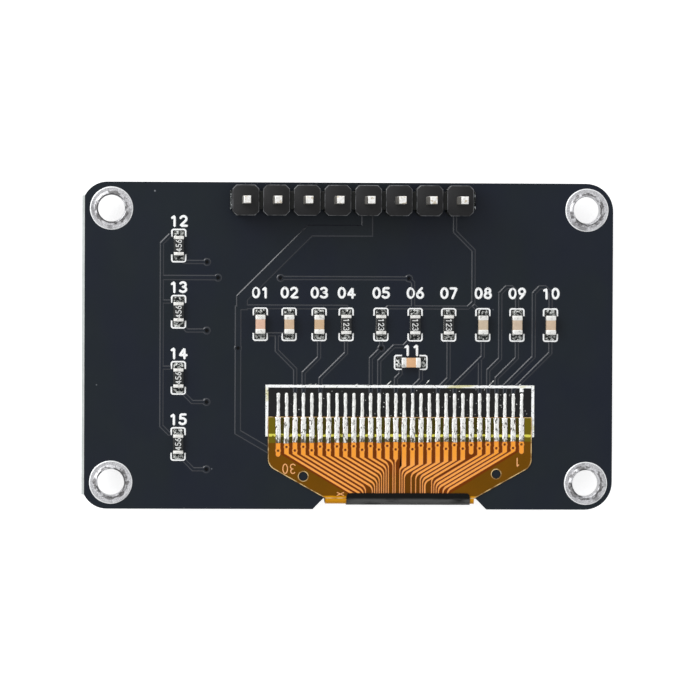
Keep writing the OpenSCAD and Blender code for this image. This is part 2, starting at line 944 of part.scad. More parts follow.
board();
hole_platings();
header_platings();
board_tracks();
chip_lands();
tail_lands();
printed_outlines();
header_body();
header_solder();
for (n = [1 : pin_count])
    header_pin(n);
for (k = [1 : len(capacitor_places)])
    capacitor(capacitor_places[k - 1]);
for (k = [1 : len(resistor_places)])
    resistor(resistor_places[k - 1]);
chip_solder();
tail();
tail_tracks();
tail_solder();
fold_tape();
polariser();
display_glass();
cap_glass();
driver_chip();
foam_tape();
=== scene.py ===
import math
import bmesh
import bpy
import numpy as np
from mathutils import Matrix, Vector


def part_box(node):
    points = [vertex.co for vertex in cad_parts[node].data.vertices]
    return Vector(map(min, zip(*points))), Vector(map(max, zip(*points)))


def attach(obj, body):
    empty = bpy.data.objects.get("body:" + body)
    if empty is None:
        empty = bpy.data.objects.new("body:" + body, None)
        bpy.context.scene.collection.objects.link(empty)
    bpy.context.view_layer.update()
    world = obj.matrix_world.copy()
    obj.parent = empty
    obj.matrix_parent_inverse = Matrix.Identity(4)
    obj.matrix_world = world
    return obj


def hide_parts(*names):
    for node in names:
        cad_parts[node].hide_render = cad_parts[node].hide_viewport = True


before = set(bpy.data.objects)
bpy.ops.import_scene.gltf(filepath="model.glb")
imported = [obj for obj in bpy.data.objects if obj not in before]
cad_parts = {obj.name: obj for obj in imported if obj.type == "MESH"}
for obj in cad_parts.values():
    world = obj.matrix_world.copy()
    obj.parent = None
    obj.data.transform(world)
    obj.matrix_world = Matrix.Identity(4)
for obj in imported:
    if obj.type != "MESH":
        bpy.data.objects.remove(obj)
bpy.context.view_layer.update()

mm = 0.001
dice = np.random.default_rng(12)


def corners(node):
    # lowest and highest corner of a solid, in millimetres
    low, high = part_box(node)
    return np.array(low) / mm, np.array(high) / mm


def middle(node):
    low, high = corners(node)
    return (low + high) / 2


def tone(red, green, blue):
    # a screen colour, 0 to 255, as the linear values that shaders take
    c = np.array([red, green, blue]) / 255
    linear = np.where(c <= 0.04045, c / 12.92, ((c + 0.055) / 1.055) ** 2.4)
    return (*linear.tolist(), 1.0)


class Wire:
    # one output of a shader node, so that shader maths reads as plain expressions
    def __init__(self, tree, socket=None):
        self.tree = tree
        self.socket = socket

    def node(self, kind, settings=None, sockets=None, out=0):
        # adds a node: its settings first, then values or wires for its sockets
        made = self.tree.nodes.new("ShaderNode" + kind)
        for key, value in (settings or {}).items():
            setattr(made, key, value)
        self.feed(made, sockets or {})
        return Wire(self.tree, made.outputs[out])

    def feed(self, made, sockets):
        for key, value in sockets.items():
            if isinstance(value, Wire):
                self.tree.links.new(value.socket, made.inputs[key])
            else:
                made.inputs[key].default_value = value

    def calculate(self, operation, first, second):
        return self.node("Math", {"operation": operation}, {0: first, 1: second})

    def __add__(self, other):
        return self.calculate("ADD", self, other)

    def __radd__(self, other):
        return self.calculate("ADD", other, self)

    def __sub__(self, other):
        return self.calculate("SUBTRACT", self, other)

    def __rsub__(self, other):
        return self.calculate("SUBTRACT", other, self)

    def __mul__(self, other):
        return self.calculate("MULTIPLY", self, other)

    def __rmul__(self, other):
        return self.calculate("MULTIPLY", other, self)

    def __abs__(self):
        return self.calculate("ABSOLUTE", self, 0.0)


def smooth(value, low, high):
    # 0 below low, 1 above high and an eased slope between them
    return value.node("MapRange", {"interpolation_type": "SMOOTHSTEP"},
                      {"Value": value, "From Min": low, "From Max": high})


def band(value, low, high, soft):
    # 1 between low and high, falling to 0 over the soft distance on both sides
    return smooth(value, low - soft, low + soft) * (1 - smooth(value, high - soft, high + soft))


def tint(factor, base, over):
    # the colour base, covered by the colour over as far as factor says
    return factor.node("Mix", {"data_type": "RGBA"}, {0: factor, 6: base, 7: over}, 2)


def stretch(place, by):
    # blots drawn on the result are longer by 1 / by along each axis
    return place.node("VectorMath", {"operation": "MULTIPLY"}, {0: place, 1: by})


def noise(place, size, detail=2.0, roughness=0.5):
    # cloudy noise about 0.5, with blots of about that size in millimetres
    return place.node("TexNoise", {}, {"Vector": place, "Scale": 1 / size, "Detail": detail,
                                       "Roughness": roughness})


def mottled(place, size, detail, base, over):
    return tint(noise(place, size, detail), base, over)


def specks(place, size, share):
    # 1 on small round specks in that share of the cells of a Voronoi pattern
    cell = {"Vector": place, "Scale": 1 / size}
    distance = place.node("TexVoronoi", {}, cell, "Distance")
    lot = place.node("SeparateColor", {}, {0: place.node("TexVoronoi", {}, cell, "Color")}, 0)
    return smooth(lot, 1 - share, 1 - share + 0.001) * (1 - smooth(distance, 0.08, 0.16))


def bump(height, depth, strength=1.0):
    # a normal that follows a height of 0 to 1 over that depth in millimetres
    return height.node("Bump", {}, {"Height": height, "Distance": depth * mm, "Strength": strength})


def split(place):
    return [place.node("SeparateXYZ", {}, {0: place}, axis) for axis in range(3)]


def facingUp(place):
    # how far the surface faces up or down, from 0 on a wall to 1 on a level face
    return abs(place.node("SeparateXYZ", {}, {0: place.node("TexCoord", out="Normal")}, 2))


def finish(name, recipe, **fixed):
    # one material: recipe turns a place in millimetres into sockets of the Principled shader
    made = bpy.data.materials.new(name)
    made.use_nodes = True
    start = Wire(made.node_tree)
    place = start.node("VectorMath", {"operation": "SCALE"},
                       {0: start.node("TexCoord", out="Object"), "Scale": 1 / mm})
    shader = made.node_tree.nodes["Principled BSDF"]
    start.feed(shader, {key.replace("_", " "): value for key, value in fixed.items()})
    start.feed(shader, recipe(place))
    return made


def clouded(name, base, over, size, detail, roughness, waver=None, grain=None, **fixed):
    # a material in clouds of two tones: waver holds the strength and size of changes in roughness,
    # and grain the size, detail, depth and strength of bumps
    def recipe(place):
        sockets = {"Base Color": mottled(place, size, detail, base, over), "Roughness": roughness}
        if waver:
            sockets["Roughness"] = roughness + waver[0] * noise(place, waver[1])
        if grain:
            sockets["Normal"] = bump(noise(place, *grain[:2]), *grain[2:])
        return sockets

    return finish(name, recipe, **fixed)


# a shape is an array of points in millimetres and a list of faces

def rings(grid, closed=True, capped=True):
    # grid[i, j] is point j of ring i: each ring is joined to the next, and the ends are filled
    count, around = grid.shape[:2]
    i = np.arange(count - 1)[:, None]
    j = np.arange(around if closed else around - 1)[None, :]
    a = i * around + j
    b = i * around + (j + 1) % around
    faces = np.stack([a, b, b + around, a + around], axis=-1).reshape(-1, 4).tolist()
    if capped:
        faces += [list(range(around))[::-1], list(range((count - 1) * around, count * around))]
    return grid.reshape(-1, 3), faces


def revolve(radius, height, around):
    # a closed profile turned about Z; its radii and heights may have a row for each angle
    a = np.linspace(0, 2 * math.pi, around, endpoint=False)[:, None]
    grid = np.stack(np.broadcast_arrays(np.cos(a) * radius, np.sin(a) * radius, height), axis=-1)
    return rings(np.concatenate([grid, grid[:1]]), capped=False)


def together(shapes):
    # several shapes as one, each with its face numbers moved past the points before it
    starts = np.cumsum([0] + [len(points) for points, faces in shapes])
    faces = [[index + int(start) for index in face]
             for (points, own), start in zip(shapes, starts) for face in own]
    return np.concatenate([points for points, faces in shapes]), faces


def placed(shape, at, turn=0.0):
    # a shape turned about Z by that many degrees, then moved
    points, faces = shape
    c, s = math.cos(math.radians(turn)), math.sin(math.radians(turn))
    return points @ np.array([[c, s, 0], [-s, c, 0], [0, 0, 1]]) + at, faces


def piece(name, shape, materials, smoothed=True, sharpAngle=40, faceMaterial=None, stands=()):
    # puts a shape into a mesh object that rides on the part, with seams merged and faces outwards
    points, faces = shape
    mesh = bpy.data.meshes.new(name)
    mesh.from_pydata((np.asarray(points) * mm).tolist(), [], faces)
    for made in materials:
        mesh.materials.append(made)
    if faceMaterial is not None:
        mesh.polygons.foreach_set("material_index", np.asarray(faceMaterial, dtype=np.int32))
    work = bmesh.new()
    work.from_mesh(mesh)
    bmesh.ops.remove_doubles(work, verts=work.verts, dist=1e-7)
    bmesh.ops.recalc_face_normals(work, faces=work.faces)
    work.to_mesh(mesh)
    work.free()
    if smoothed:
        mesh.shade_smooth()
        mesh.set_sharp_from_angle(angle=math.radians(sharpAngle))
    made = bpy.data.objects.new(name, mesh)
    bpy.context.scene.collection.objects.link(made)
    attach(made, "root")
    if stands:
        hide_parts(*stands)
    return made


def solidCopy(node):
    # a merged copy of a solid's mesh, with its flat faces whole again
    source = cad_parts[node]
    work = bmesh.new()
    work.from_mesh(source.data)
    work.transform(source.matrix_world)
    bmesh.ops.remove_doubles(work, verts=work.verts, dist=1e-6)
    bmesh.ops.dissolve_limit(work, angle_limit=math.radians(0.5), verts=work.verts, edges=work.edges)
    work.verts.index_update()
    points = np.array([v.co[:] for v in work.verts]) / mm
    faces = [[v.index for v in face.verts] for face in work.faces]
    work.free()
    return points, faces


def roundEdges(made, width, limit=30):
    bevel = made.modifiers.new("edges", "BEVEL")
    bevel.width = width * mm
    bevel.segments = 2
    bevel.limit_method = "ANGLE"
    bevel.angle_limit = math.radians(limit)


def edged(name, node, materials, width, limit=30):
    # a copy of a solid with its edges rounded by that width
    roundEdges(piece(name, solidCopy(node), materials, sharpAngle=50, stands=[node]), width, limit)


def unit(v):
    return v / (np.linalg.norm(v, axis=-1, keepdims=True) + 1e-12)


def leftOf(ahead):
    # flat directions turned a quarter circle to the left
    return np.stack([-ahead[:, 1], ahead[:, 0]], axis=1)


def sloped(shape, top, bottom):
    # gives a flat pattern sloping walls: its upper outline moves out by top, its lower by bottom.
    # A point moves along the sum S of its two walls' normals, by twice the distance over S squared
    points, faces = shape
    total = np.zeros_like(points)
    for face in faces:
        ring = points[face]
        turns = np.cross(ring - np.roll(ring, 1, axis=0), np.roll(ring, -1, axis=0) - ring)
        normal = unit(turns.sum(axis=0))
        if abs(normal[2]) < 0.3:
            total[face] += normal
    square = np.maximum((total ** 2).sum(axis=1), 0.8)
    level = points[:, 2] > (points[:, 2].min() + points[:, 2].max()) / 2
    distance = np.where(level, top, bottom)
    return points + total * (2 * distance / square)[:, None] * [1, 1, 0], faces


def outlines(shape, level):
    # closed loops of points where a level face at that height meets a wall
    points, faces = shape
    ends = {}
    for face in faces:
        if np.abs(points[face][:, 2] - level).max() < 1e-3:
            for a, b in zip(face, face[1:] + face[:1]):
                if ends.get(b) and a in ends[b]:
                    ends[b].remove(a)
                else:
                    ends.setdefault(a, []).append(b)
    loops = []
    while any(ends.values()):
        start = next(key for key, value in ends.items() if value)
        loop = [start]
        while ends.get(loop[-1]):
            loop.append(ends[loop[-1]].pop())
        loops.append(points[loop[:-1]][:, :2])
    return loops


def walk(points, gap):
    # points set that far apart along a polyline
    points = np.asarray(points, dtype=float)
    length = np.concatenate([[0], np.cumsum(np.linalg.norm(np.diff(points, axis=0), axis=1))])
    steps = np.linspace(0, length[-1], max(int(length[-1] / gap), 2) + 1)
    return np.stack([np.interp(steps, length, axis) for axis in points.T], axis=1)


def strip(path, halfWidth, height, base, power=4.0, across=7):
    # a low ridge along a flat path: each cross-section is the square root of 1 less t to that power,
    # with t from -1 to 1 over the width, on a flat underside
    path = np.asarray(path, dtype=float)
    side = leftOf(unit(np.gradient(path, axis=0)))
    t = np.linspace(-1, 1, across)
    dome = np.sqrt(np.maximum(1 - np.abs(t) ** power, 0))
    t = np.concatenate([t, [0.6, -0.6]])
    dome = np.concatenate([dome, [0, 0]])
    halfWidth, height, base = [np.broadcast_to(v, len(path)) for v in (halfWidth, height, base)]
    grid = np.empty((len(path), len(t), 3))
    grid[..., :2] = path[:, None, :] + side[:, None, :] * (halfWidth[:, None] * t)[..., None]
    grid[..., 2] = base[:, None] + height[:, None] * dome
    return rings(grid)


def roundEnded(points, halfWidth, gap):
    # a path lengthened by its half width at both ends, where the width closes as a half circle
    path = walk(points, gap)
    t = np.sin(np.linspace(0, math.pi / 2, 5))[1:]
    first, last = unit(path[0] - path[1]), unit(path[-1] - path[-2])
    path = np.concatenate([path[0] + first * (t * halfWidth)[::-1, None], path,
                           path[-1] + last * (t * halfWidth)[:, None]])
    end = np.maximum(np.sqrt(np.maximum(1 - t ** 2, 0)), 0.05)
    width = np.concatenate([end[::-1], np.ones(len(path) - 2 * len(t)), end]) * halfWidth
    return path, width


def roundedBox(size, radius, inner=3):
    # a box whose points are pulled onto a sphere of that radius round the nearest point of a smaller
    # box; inner is the number of points along each straight stretch
    half = np.asarray(size) / 2
    t = radius * (1 - np.cos(np.linspace(0, math.pi / 2, 4)))
    shapes = []
    for axis in range(3):
        one, two = [a for a in range(3) if a != axis]
        line = [np.concatenate([-half[a] + t, np.linspace(-half[a] + radius, half[a] - radius, inner)[1:-1],
                                (half[a] - t)[::-1]]) for a in (one, two)]
        for side in (-1, 1):
            u, v = np.meshgrid(*line, indexing="ij")
            q = np.empty(u.shape + (3,))
            q[..., one], q[..., two], q[..., axis] = u, v, side * half[axis]
            core = np.clip(q, radius - half, half - radius)
            shapes.append(rings(core + radius * unit(q - core), closed=False, capped=False))
    return together(shapes)


def ripple(t, waves, size):
    # an uneven line: a sum of sines of t, with lots drawn for their phase and strength
    return size * sum(dice.uniform(0.3, 1) / w ** 0.5 * np.sin(w * t + dice.uniform(0, 6.3)) for w in waves)


view = {"distance": 433.0, "lens": 267.4, "aim": (0.08, -0.33, 3.5), "lean": (-2.3, 1.2), "roll": 0.2}


def setCamera():
    # looks down at the back, leaning a little off the vertical in X and in Y
    camera = bpy.data.cameras.new("camera")
    camera.lens = view["lens"]
    camera.clip_start, camera.clip_end = 0.01, 10
    leanX, leanY = [math.tan(math.radians(lean)) for lean in view["lean"]]
    away = Vector((leanX, leanY, 1)).normalized()
    roll = math.radians(view["roll"])
    up = away.cross(Vector((math.cos(roll), math.sin(roll), 0))).normalized()
    right = up.cross(away)
    spot = Vector(view["aim"]) + away * view["distance"]
    made = bpy.data.objects.new("camera", camera)
    made.matrix_world = Matrix.Translation(spot * mm) @ Matrix((right, up, away)).transposed().to_4x4()
    bpy.context.scene.collection.objects.link(made)
    bpy.context.scene.camera = made


def addLamp(name, spot, size, power):
    # a soft rectangle of light that faces the origin
    lamp = bpy.data.lights.new(name, "AREA")
    lamp.shape = "RECTANGLE"
    lamp.size, lamp.size_y = size[0] * mm, size[1] * mm
    lamp.energy = power
    made = bpy.data.objects.new(name, lamp)
    made.location = Vector(spot) * mm
    made.rotation_euler = Vector(spot).to_track_quat("Z", "Y").to_euler()
    bpy.context.scene.collection.objects.link(made)


def setWorld():
    world = bpy.data.worlds.new("studio")
    world.use_nodes = True
    bpy.context.scene.world = world
    tree = world.node_tree
    tree.nodes.clear()
    start = Wire(tree)
    x, y, height = split(start.node("TexCoord", out="Generated"))
    # a bright ring half way up the sky, stronger on the upper left, round a dim zenith
    level = 0.35 + 0.85 * smooth(height, 0.1, 0.6) - 0.85 * smooth(height, 0.84, 0.97)
    level = level * (1.0 - 0.45 * x + 0.3 * y)
    light = start.node("Background", {}, {"Color": tone(252, 253, 255), "Strength": level})
    white = start.node("Background", {}, {"Color": (1, 1, 1, 1), "Strength": 1.0})
    seen = start.node("LightPath", out="Is Camera Ray")
    mixed = start.node("MixShader", {}, {0: seen, 1: light, 2: white})
    start.feed(tree.nodes.new("ShaderNodeOutputWorld"), {"Surface": mixed})


floorLook = {"reach": 700, "sunk": 0.02, "paper": (0.55, 0.55, 0.55, 1), "glow": 0.75}


def setFloor():
    # paper that takes shadows, glows white to the camera and in reflections, and is clear from below
    reach, level = floorLook["reach"] * mm, -floorLook["sunk"] * mm
    mesh = bpy.data.meshes.new("floor")
    mesh.from_pydata([(-reach, -reach, level), (reach, -reach, level), (reach, reach, level),
                      (-reach, reach, level)], [], [(0, 1, 2, 3)])
    made = bpy.data.objects.new("floor", mesh)
    bpy.context.scene.collection.objects.link(made)
    paper = bpy.data.materials.new("paper")
    paper.use_nodes = True
    tree = paper.node_tree
    tree.nodes.clear()
    start = Wire(tree)
    camera, glossy, through = [start.node("LightPath", out=ray) for ray in
                               ("Is Camera Ray", "Is Glossy Ray", "Is Transmission Ray")]
    lit = start.node("BsdfDiffuse", {}, {"Color": floorLook["paper"]})
    glow = start.node("Emission", {}, {"Color": (1, 1, 1, 1),
                                       "Strength": (camera + glossy + through) * floorLook["glow"]})
    both = start.node("AddShader", {}, {0: lit, 1: glow})
    below = start.node("NewGeometry", out="Backfacing")
    mixed = start.node("MixShader", {}, {0: below, 1: both, 2: start.node("BsdfTransparent")})
    start.feed(tree.nodes.new("ShaderNodeOutputMaterial"), {"Surface": mixed})
    mesh.materials.append(paper)


bpy.context.scene.view_settings.view_transform = "Standard"
setCamera()
setWorld()
setFloor()
addLamp("keyLamp", (-170, 120, 200), (150, 120), 0.33)
addLamp("sideLamp", (230, -40, 90), (140, 120), 0.05)
print("stage ready")


boardLow, boardHigh = corners("board")
boardTop = boardHigh[2]
boardLook = {
    "mask": (0.003, 0.006, 0.014, 1), "greener": (0.004, 0.008, 0.012, 1), "stain": (0.005, 0.004, 0.003, 1),
    "dust": tone(170, 174, 178), "laminate": tone(70, 66, 54), "laminateDark": tone(38, 36, 32),
    "rib": tone(196, 201, 200), "ribDark": tone(164, 168, 164), "ribFrom": 22.01,
    "stainX": (-6.8, 15.3), "stainY": (-6.0, -3.5),
    "bevel": 0.04, "corner": 2.3, "ribCorner": 2.1, "ribReach": 0.23}


def maskClouds(place):
    return noise(stretch(place, (1, 0.5, 1)), 4.0, 3)


def maskTone(place):
    return tint(smooth(maskClouds(place), 0.3, 0.7), boardLook["mask"], boardLook["greener"])


def boardRecipe(place):
    look = boardLook
    x, y, z = split(place)
    level = smooth(facingUp(place), 0.55, 0.75)
    # flux has stained the ground round the tail's lands
    stained = band(x, *look["stainX"], 0.1) * band(y, *look["stainY"], 0.1)
    mask = tint(stained * 0.8, maskTone(place), look["stain"])
    mask = tint(specks(place, 0.6, 0.006) * 0.4, mask, look["dust"])
    # the walls show bare laminate, and the rib where the board was snapped off is paler
    cut = mottled(stretch(place, (0.3, 0.3, 4)), 0.3, 3, look["laminate"], look["laminateDark"])
    rib = smooth(x * -1.0, look["ribFrom"], look["ribFrom"] + 0.02)
    base = tint(rib, tint(level, cut, mask), mottled(place, 0.6, 3, look["rib"], look["ribDark"]))
    return {"Base Color": base, "Roughness": 0.62 - 0.3 * level + 0.06 * (noise(place, 2.5, 3) - 0.5),
            "Normal": bump(noise(place, 0.35, 1) * 0.5 + maskClouds(place) * 0.5, 0.012, 0.5)}


def boardShape():
    # beside the snapped rib the corners are tighter: each point of the old corner, at 0 to 90
    # degrees from the Y axis, moves to a fixed share of its angle on a circle that touches the rib's face
    look = boardLook
    points, faces = solidCopy("board")
    old, new = look["corner"], look["ribCorner"]
    share = math.asin(1 - look["ribReach"] / new) / (math.pi / 2)
    for side in (-1, 1):
        x = points[:, 0] - (boardLow[0] + look["ribReach"] + old)
        y = points[:, 1] * side - (boardHigh[1] - old)
        onCorner = (x <= 1e-3) & (y >= -1e-3) & (np.abs(np.hypot(x, y) - old) < 0.02)
        angle = np.arctan2(-x, y)[onCorner] * share
        points[onCorner, 0] = boardLow[0] + new - new * np.sin(angle)
        points[onCorner, 1] = side * (boardHigh[1] - new + new * np.cos(angle))
    return points, faces


boardMask = finish("blackMask", boardRecipe, Specular_IOR_Level=0.4)
roundEdges(piece("boardBody", boardShape(), [boardMask], sharpAngle=50, stands=["board"]),
           boardLook["bevel"])


tinLook = {
    "bright": tone(222, 222, 224), "dull": tone(176, 175, 177), "worn": tone(112, 111, 112),
    "hollow": tone(52, 50, 50), "hollowPale": tone(112, 110, 110), "crease": tone(40, 39, 38),
    "edge": tone(244, 245, 245), "bore": 1.1, "rim": 1.8, "lip": 0.108, "copper": 0.035, "around": 72}
holeX, holeY = [float(v) for v in corners("hole_platings")[1][:2] - tinLook["rim"]]


def tinRecipe(place):
    # every hole is folded onto one by taking absolute values, to measure the distance from its middle
    look = tinLook
    away = place.node("VectorMath", {"operation": "ABSOLUTE"}, {0: place})
    away = place.node("VectorMath", {"operation": "SUBTRACT"}, {0: away, 1: (holeX, holeY, 0)})
    away = place.node("VectorMath", {"operation": "LENGTH"}, {0: stretch(away, (1, 1, 0))}, "Value")
    blots = noise(place, 0.7, 3, 0.6)
    fine = noise(place, 0.09, 3)
    # dark marks lie in the hollow inside the lip, out to an uneven reach, and painted shade lies along the
    # lip's foot at the mouth of the bore
    reach = 1.40 + 0.5 * (noise(place, 0.5, 2) - 0.4)
    hollow = smooth(away, 1.2, 1.25) * (1 - smooth(away - reach, -0.03, 0.03)) * smooth(blots, 0.42, 0.52)
    crease = band(away, 1.13, 1.24, 0.03) * smooth(noise(place, 1.1, 2), 0.44, 0.54)
    worn = band(away, 1.42, 1.72, 0.04) * smooth(noise(place, 1.3, 3), 0.56, 0.68)
    dark = tint(smooth(noise(place, 0.14, 2), 0.4, 0.6), look["hollow"], look["hollowPale"])
    base = tint(smooth(fine, 0.3, 0.7), look["dull"], look["bright"])
    base = tint(hollow * 0.85, base, dark)
    base = tint(crease * 0.9, base, look["crease"])
    base = tint(worn * 0.65, base, look["worn"])
    # the thin band at the pad's outer edge is a painted highlight, near-white where the edge slopes down
    base = tint(band(away, 1.73, 1.79, 0.02), base, look["edge"])
    return {"Base Color": base, "Roughness": 0.3 + 0.2 * blots,
            "Normal": bump(blots * 0.5 + fine * 0.5, 0.035, 0.8)}


def tinnedHole(centre):
    # the ring's half section runs up the bore, over the lip, out along the pad and down its edge,
    # and is repeated under the board; radius and height waver with the angle
    look = tinLook
    a = np.linspace(0, 2 * math.pi, look["around"], endpoint=False)
    outer = look["rim"] + ripple(a, [2, 3, 5, 8], 0.012)
    inner = look["bore"] + np.abs(ripple(a, [3, 4, 7], 0.02))
    half = []
    for t in np.linspace(0, math.pi / 2, 7):
        lip = look["lip"] * math.sin(t) * (1 + ripple(a, [2, 5, 9], 0.08))
        half.append((inner + look["lip"] * (1 - math.cos(t)), look["copper"] + lip))
    dip = look["copper"] + 0.02 + ripple(a, [3, 6, 11], 0.006)
    half += [(inner + 0.20, dip + 0.06), (inner + 0.27, dip + 0.01), (inner + 0.38, dip - 0.01),
             (outer - 0.2, dip), (outer - 0.09, dip + 0.012), (outer - 0.04, dip),
             (outer, look["copper"] * 0.4 + 0 * a), (outer, 0 * a)]
    section = [(r, boardTop + h) for r, h in half] + [(r, boardLow[2] - h) for r, h in half[::-1]]
    radius, height = [np.stack(part, axis=1) for part in zip(*section)]
    return placed(revolve(radius, height, look["around"]), centre)


tinnedHoles = [tinnedHole((sx * holeX, sy * holeY, 0)) for sx in (-1, 1) for sy in (-1, 1)]
piece("tinnedHoles", together(tinnedHoles), [finish("mottledTin", tinRecipe, Metallic=0.6)],
      stands=["hole_platings"])
print("board and tinned holes ready")


trackLook = {"topIn": -0.035, "bottomOut": 0.05, "edge": tone(40, 42, 48),
             "viaShadeDark": (0.001, 0.001, 0.001, 1), "viaShadePale": (0.006, 0.006, 0.007, 1),
             "viaWidest": 0.45, "viaMouth": 1.25}


def trackRecipe(place):
    # the mask lies thin over the tracks' sloping edges, which are also painted paler as a highlight
    edge = 1 - smooth(facingUp(place), 0.93, 0.99)
    return {"Base Color": tint(edge, maskTone(place), trackLook["edge"]),
            "Roughness": 0.32 - 0.06 * edge + 0.1 * (noise(place, 1.2, 3) - 0.5),
            "Normal": bump(noise(place, 0.3, 2), 0.01, 0.4)}


def viaShadeDishes():
    # a dark dish of painted shade over each small round opening in the tracks, standing in for the shadow in
    # the hole
    shapes = []
    top = corners("board_tracks")[1][2]
    for loop in outlines(solidCopy("board_tracks"), top):
        width, depth = np.ptp(loop, axis=0)
        if max(width, depth) < trackLook["viaWidest"] and abs(width - depth) < 0.08:
            r = max(width, depth) / 2
            radius = [r * trackLook["viaMouth"]] * 2 + [r * 0.9, r * 0.5, 0.001, 0.001]
            height = top + np.array([-0.01, 0.003, 0.003, -0.005, -0.006, -0.01])
            shapes.append(placed(revolve(radius, height, 24), (*loop.mean(axis=0), 0)))
    return together(shapes)


trackMask = finish("maskOverCopper", trackRecipe, Specular_IOR_Level=0.45)
piece("boardTracks", sloped(solidCopy("board_tracks"), trackLook["topIn"], trackLook["bottomOut"]),
      [trackMask], smoothed=False, stands=["board_tracks"])
viaShade = clouded("viaShade", trackLook["viaShadeDark"], trackLook["viaShadePale"], 0.1, 2, 0.8,
                  Specular_IOR_Level=0.1)
piece("viaShadeDishes", viaShadeDishes(), [viaShade], sharpAngle=60)


landLook = {"bright": tone(205, 203, 192), "dark": tone(70, 68, 60), "topIn": -0.02,
            "plating": tone(196, 176, 120), "platingPale": tone(222, 214, 190)}


def landRecipe(place):
    grain = noise(place, 0.16, 3, 0.6)
    return {"Base Color": tint(smooth(grain, 0.42, 0.62), landLook["dark"], landLook["bright"]),
            "Roughness": 0.3 + 0.2 * grain, "Normal": bump(grain, 0.03, 0.8)}


landTin = finish("landTin", landRecipe, Metallic=0.85)
for name, node in (("chipLands", "chip_lands"), ("tailLands", "tail_lands")):
    piece(name, sloped(solidCopy(node), landLook["topIn"], 0.0), [landTin], smoothed=False,
          stands=[node])
platedPads = clouded("platedPads", landLook["plating"], landLook["platingPale"], 0.4, 3, 0.25,
                     waver=(0.2, 0.3), Metallic=0.95)
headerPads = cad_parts["header_platings"].data
headerPads.materials.clear()
headerPads.materials.append(platedPads)


printLook = {"ink": tone(236, 237, 236), "worn": tone(150, 152, 152), "stain": tone(196, 190, 128),
             "fleck": tone(60, 58, 52), "spread": 0.012, "frameX": (-8.0, 16.0), "frameY": (-8.0, -3.0)}


def inkRecipe(place):
    look = printLook
    x, y, z = split(place)
    worn = smooth(noise(place, 0.16, 3), 0.66, 0.74)
    # the long frame round the tail is flecked with black and stained yellow in places
    onFrame = band(y, *look["frameY"], 0.05) * band(x, *look["frameX"], 0.05)
    flecks = smooth(noise(place, 0.14, 2), 0.60, 0.68)
    stain = smooth(noise(stretch(place, (0.35, 1, 1)), 0.9, 2), 0.54, 0.68)
    base = tint(worn * 0.35, look["ink"], look["worn"])
    base = tint(onFrame * stain * 0.8, base, look["stain"])
    base = tint(onFrame * flecks * 0.8, base, look["fleck"])
    return {"Base Color": base, "Roughness": 0.55 + 0.2 * noise(place, 0.3, 2),
            "Normal": bump(noise(place, 0.12, 3), 0.012, 0.6)}


ink = finish("whiteInk", inkRecipe)
piece("printedOutlines", sloped(solidCopy("printed_outlines"), -printLook["spread"], printLook["spread"]),
      [ink], smoothed=False, stands=["printed_outlines"])


def arc(x, y, rx, ry, start, end, steps=14):
    a = np.radians(np.linspace(start, end, steps))
    return np.stack([x + rx * np.cos(a), y + ry * np.sin(a)], axis=1)


def line(*points):
    return np.array(points, dtype=float)


# strokes of the ten digits, in a cell 0.6 wide and 1 high
digitStrokes = {
    "0": [arc(0.3, 0.5, 0.29, 0.5, 90, 450, 24)],
    "1": [line((0.12, 0.82), (0.34, 1.0), (0.34, 0.0))],
    "2": [np.concatenate([arc(0.3, 0.71, 0.28, 0.29, 160, -25), line((0.02, 0.0), (0.6, 0.0))])],
    "3": [arc(0.27, 0.76, 0.27, 0.24, 150, -90), arc(0.27, 0.26, 0.31, 0.26, 90, -150)],
    "4": [line((0.44, 0.0), (0.44, 1.0), (0.0, 0.3), (0.62, 0.3))],
    "5": [np.concatenate([line((0.54, 1.0), (0.1, 1.0), (0.06, 0.55)),
                          arc(0.27, 0.31, 0.31, 0.31, 118, -150)])],
    "6": [np.concatenate([line((0.46, 1.0), (0.22, 0.74)), arc(0.3, 0.3, 0.28, 0.3, 160, 520, 22)])],
    "7": [line((0.02, 1.0), (0.58, 1.0), (0.2, 0.0))],
    "8": [arc(0.3, 0.76, 0.23, 0.24, 90, 450, 18), arc(0.3, 0.27, 0.29, 0.27, 90, 450, 20)],
    "9": [np.concatenate([arc(0.3, 0.7, 0.28, 0.3, -20, 340, 22), line((0.4, 0.26), (0.16, 0.0))])]}


def number(text, at, height, stroke, thick, turn=0.0, squeeze=1.0, gap=0.28):
    # a number drawn in round-ended strokes about the point at
    shapes = []
    advance = (0.6 + gap) * squeeze
    for place, digit in enumerate(text):
        for points in digitStrokes[digit]:
            start = [place * advance - (len(text) * advance - gap * squeeze) / 2, -0.5]
            path, width = roundEnded((points * [squeeze, 1] + start) * height, stroke / 2, stroke / 2)
            shapes.append(strip(path, width, thick, 0.0, power=8.0, across=5))
    return placed(together(shapes), at, turn)


labelLook = {"height": 0.8, "stroke": 0.205, "thick": 0.05, "squeeze": 1.1,
             "row": (0.02, 2.63), "column": (0.0, 2.05), "lone": (0.1, 1.02), "columnX": -12}
labelOrder = [*(f"capacitor_{n}" for n in (1, 2, 3)), *(f"resistor_{n}" for n in (1, 2, 3, 4)),
              *(f"capacitor_{n}" for n in (4, 5, 6, 7)), *(f"resistor_{n}" for n in (5, 6, 7, 8))]


def chipLabels():
    # the numbers stand above the chips; the lone lying chip has its number closer
    look = labelLook
    shapes = []
    for count, node in enumerate(labelOrder, 1):
        x, y, z = middle(node)
        over = look["column"] if x < look["columnX"] else look["row"]
        if node == "capacitor_7":
            over = look["lone"]
        shapes.append(number(f"{count:02d}", (x + over[0], y + over[1], boardTop), look["height"],
                             look["stroke"], look["thick"], squeeze=look["squeeze"]))
    return together(shapes)


piece("chipNumbers", chipLabels(), [ink])
print("tracks, lands and print ready")


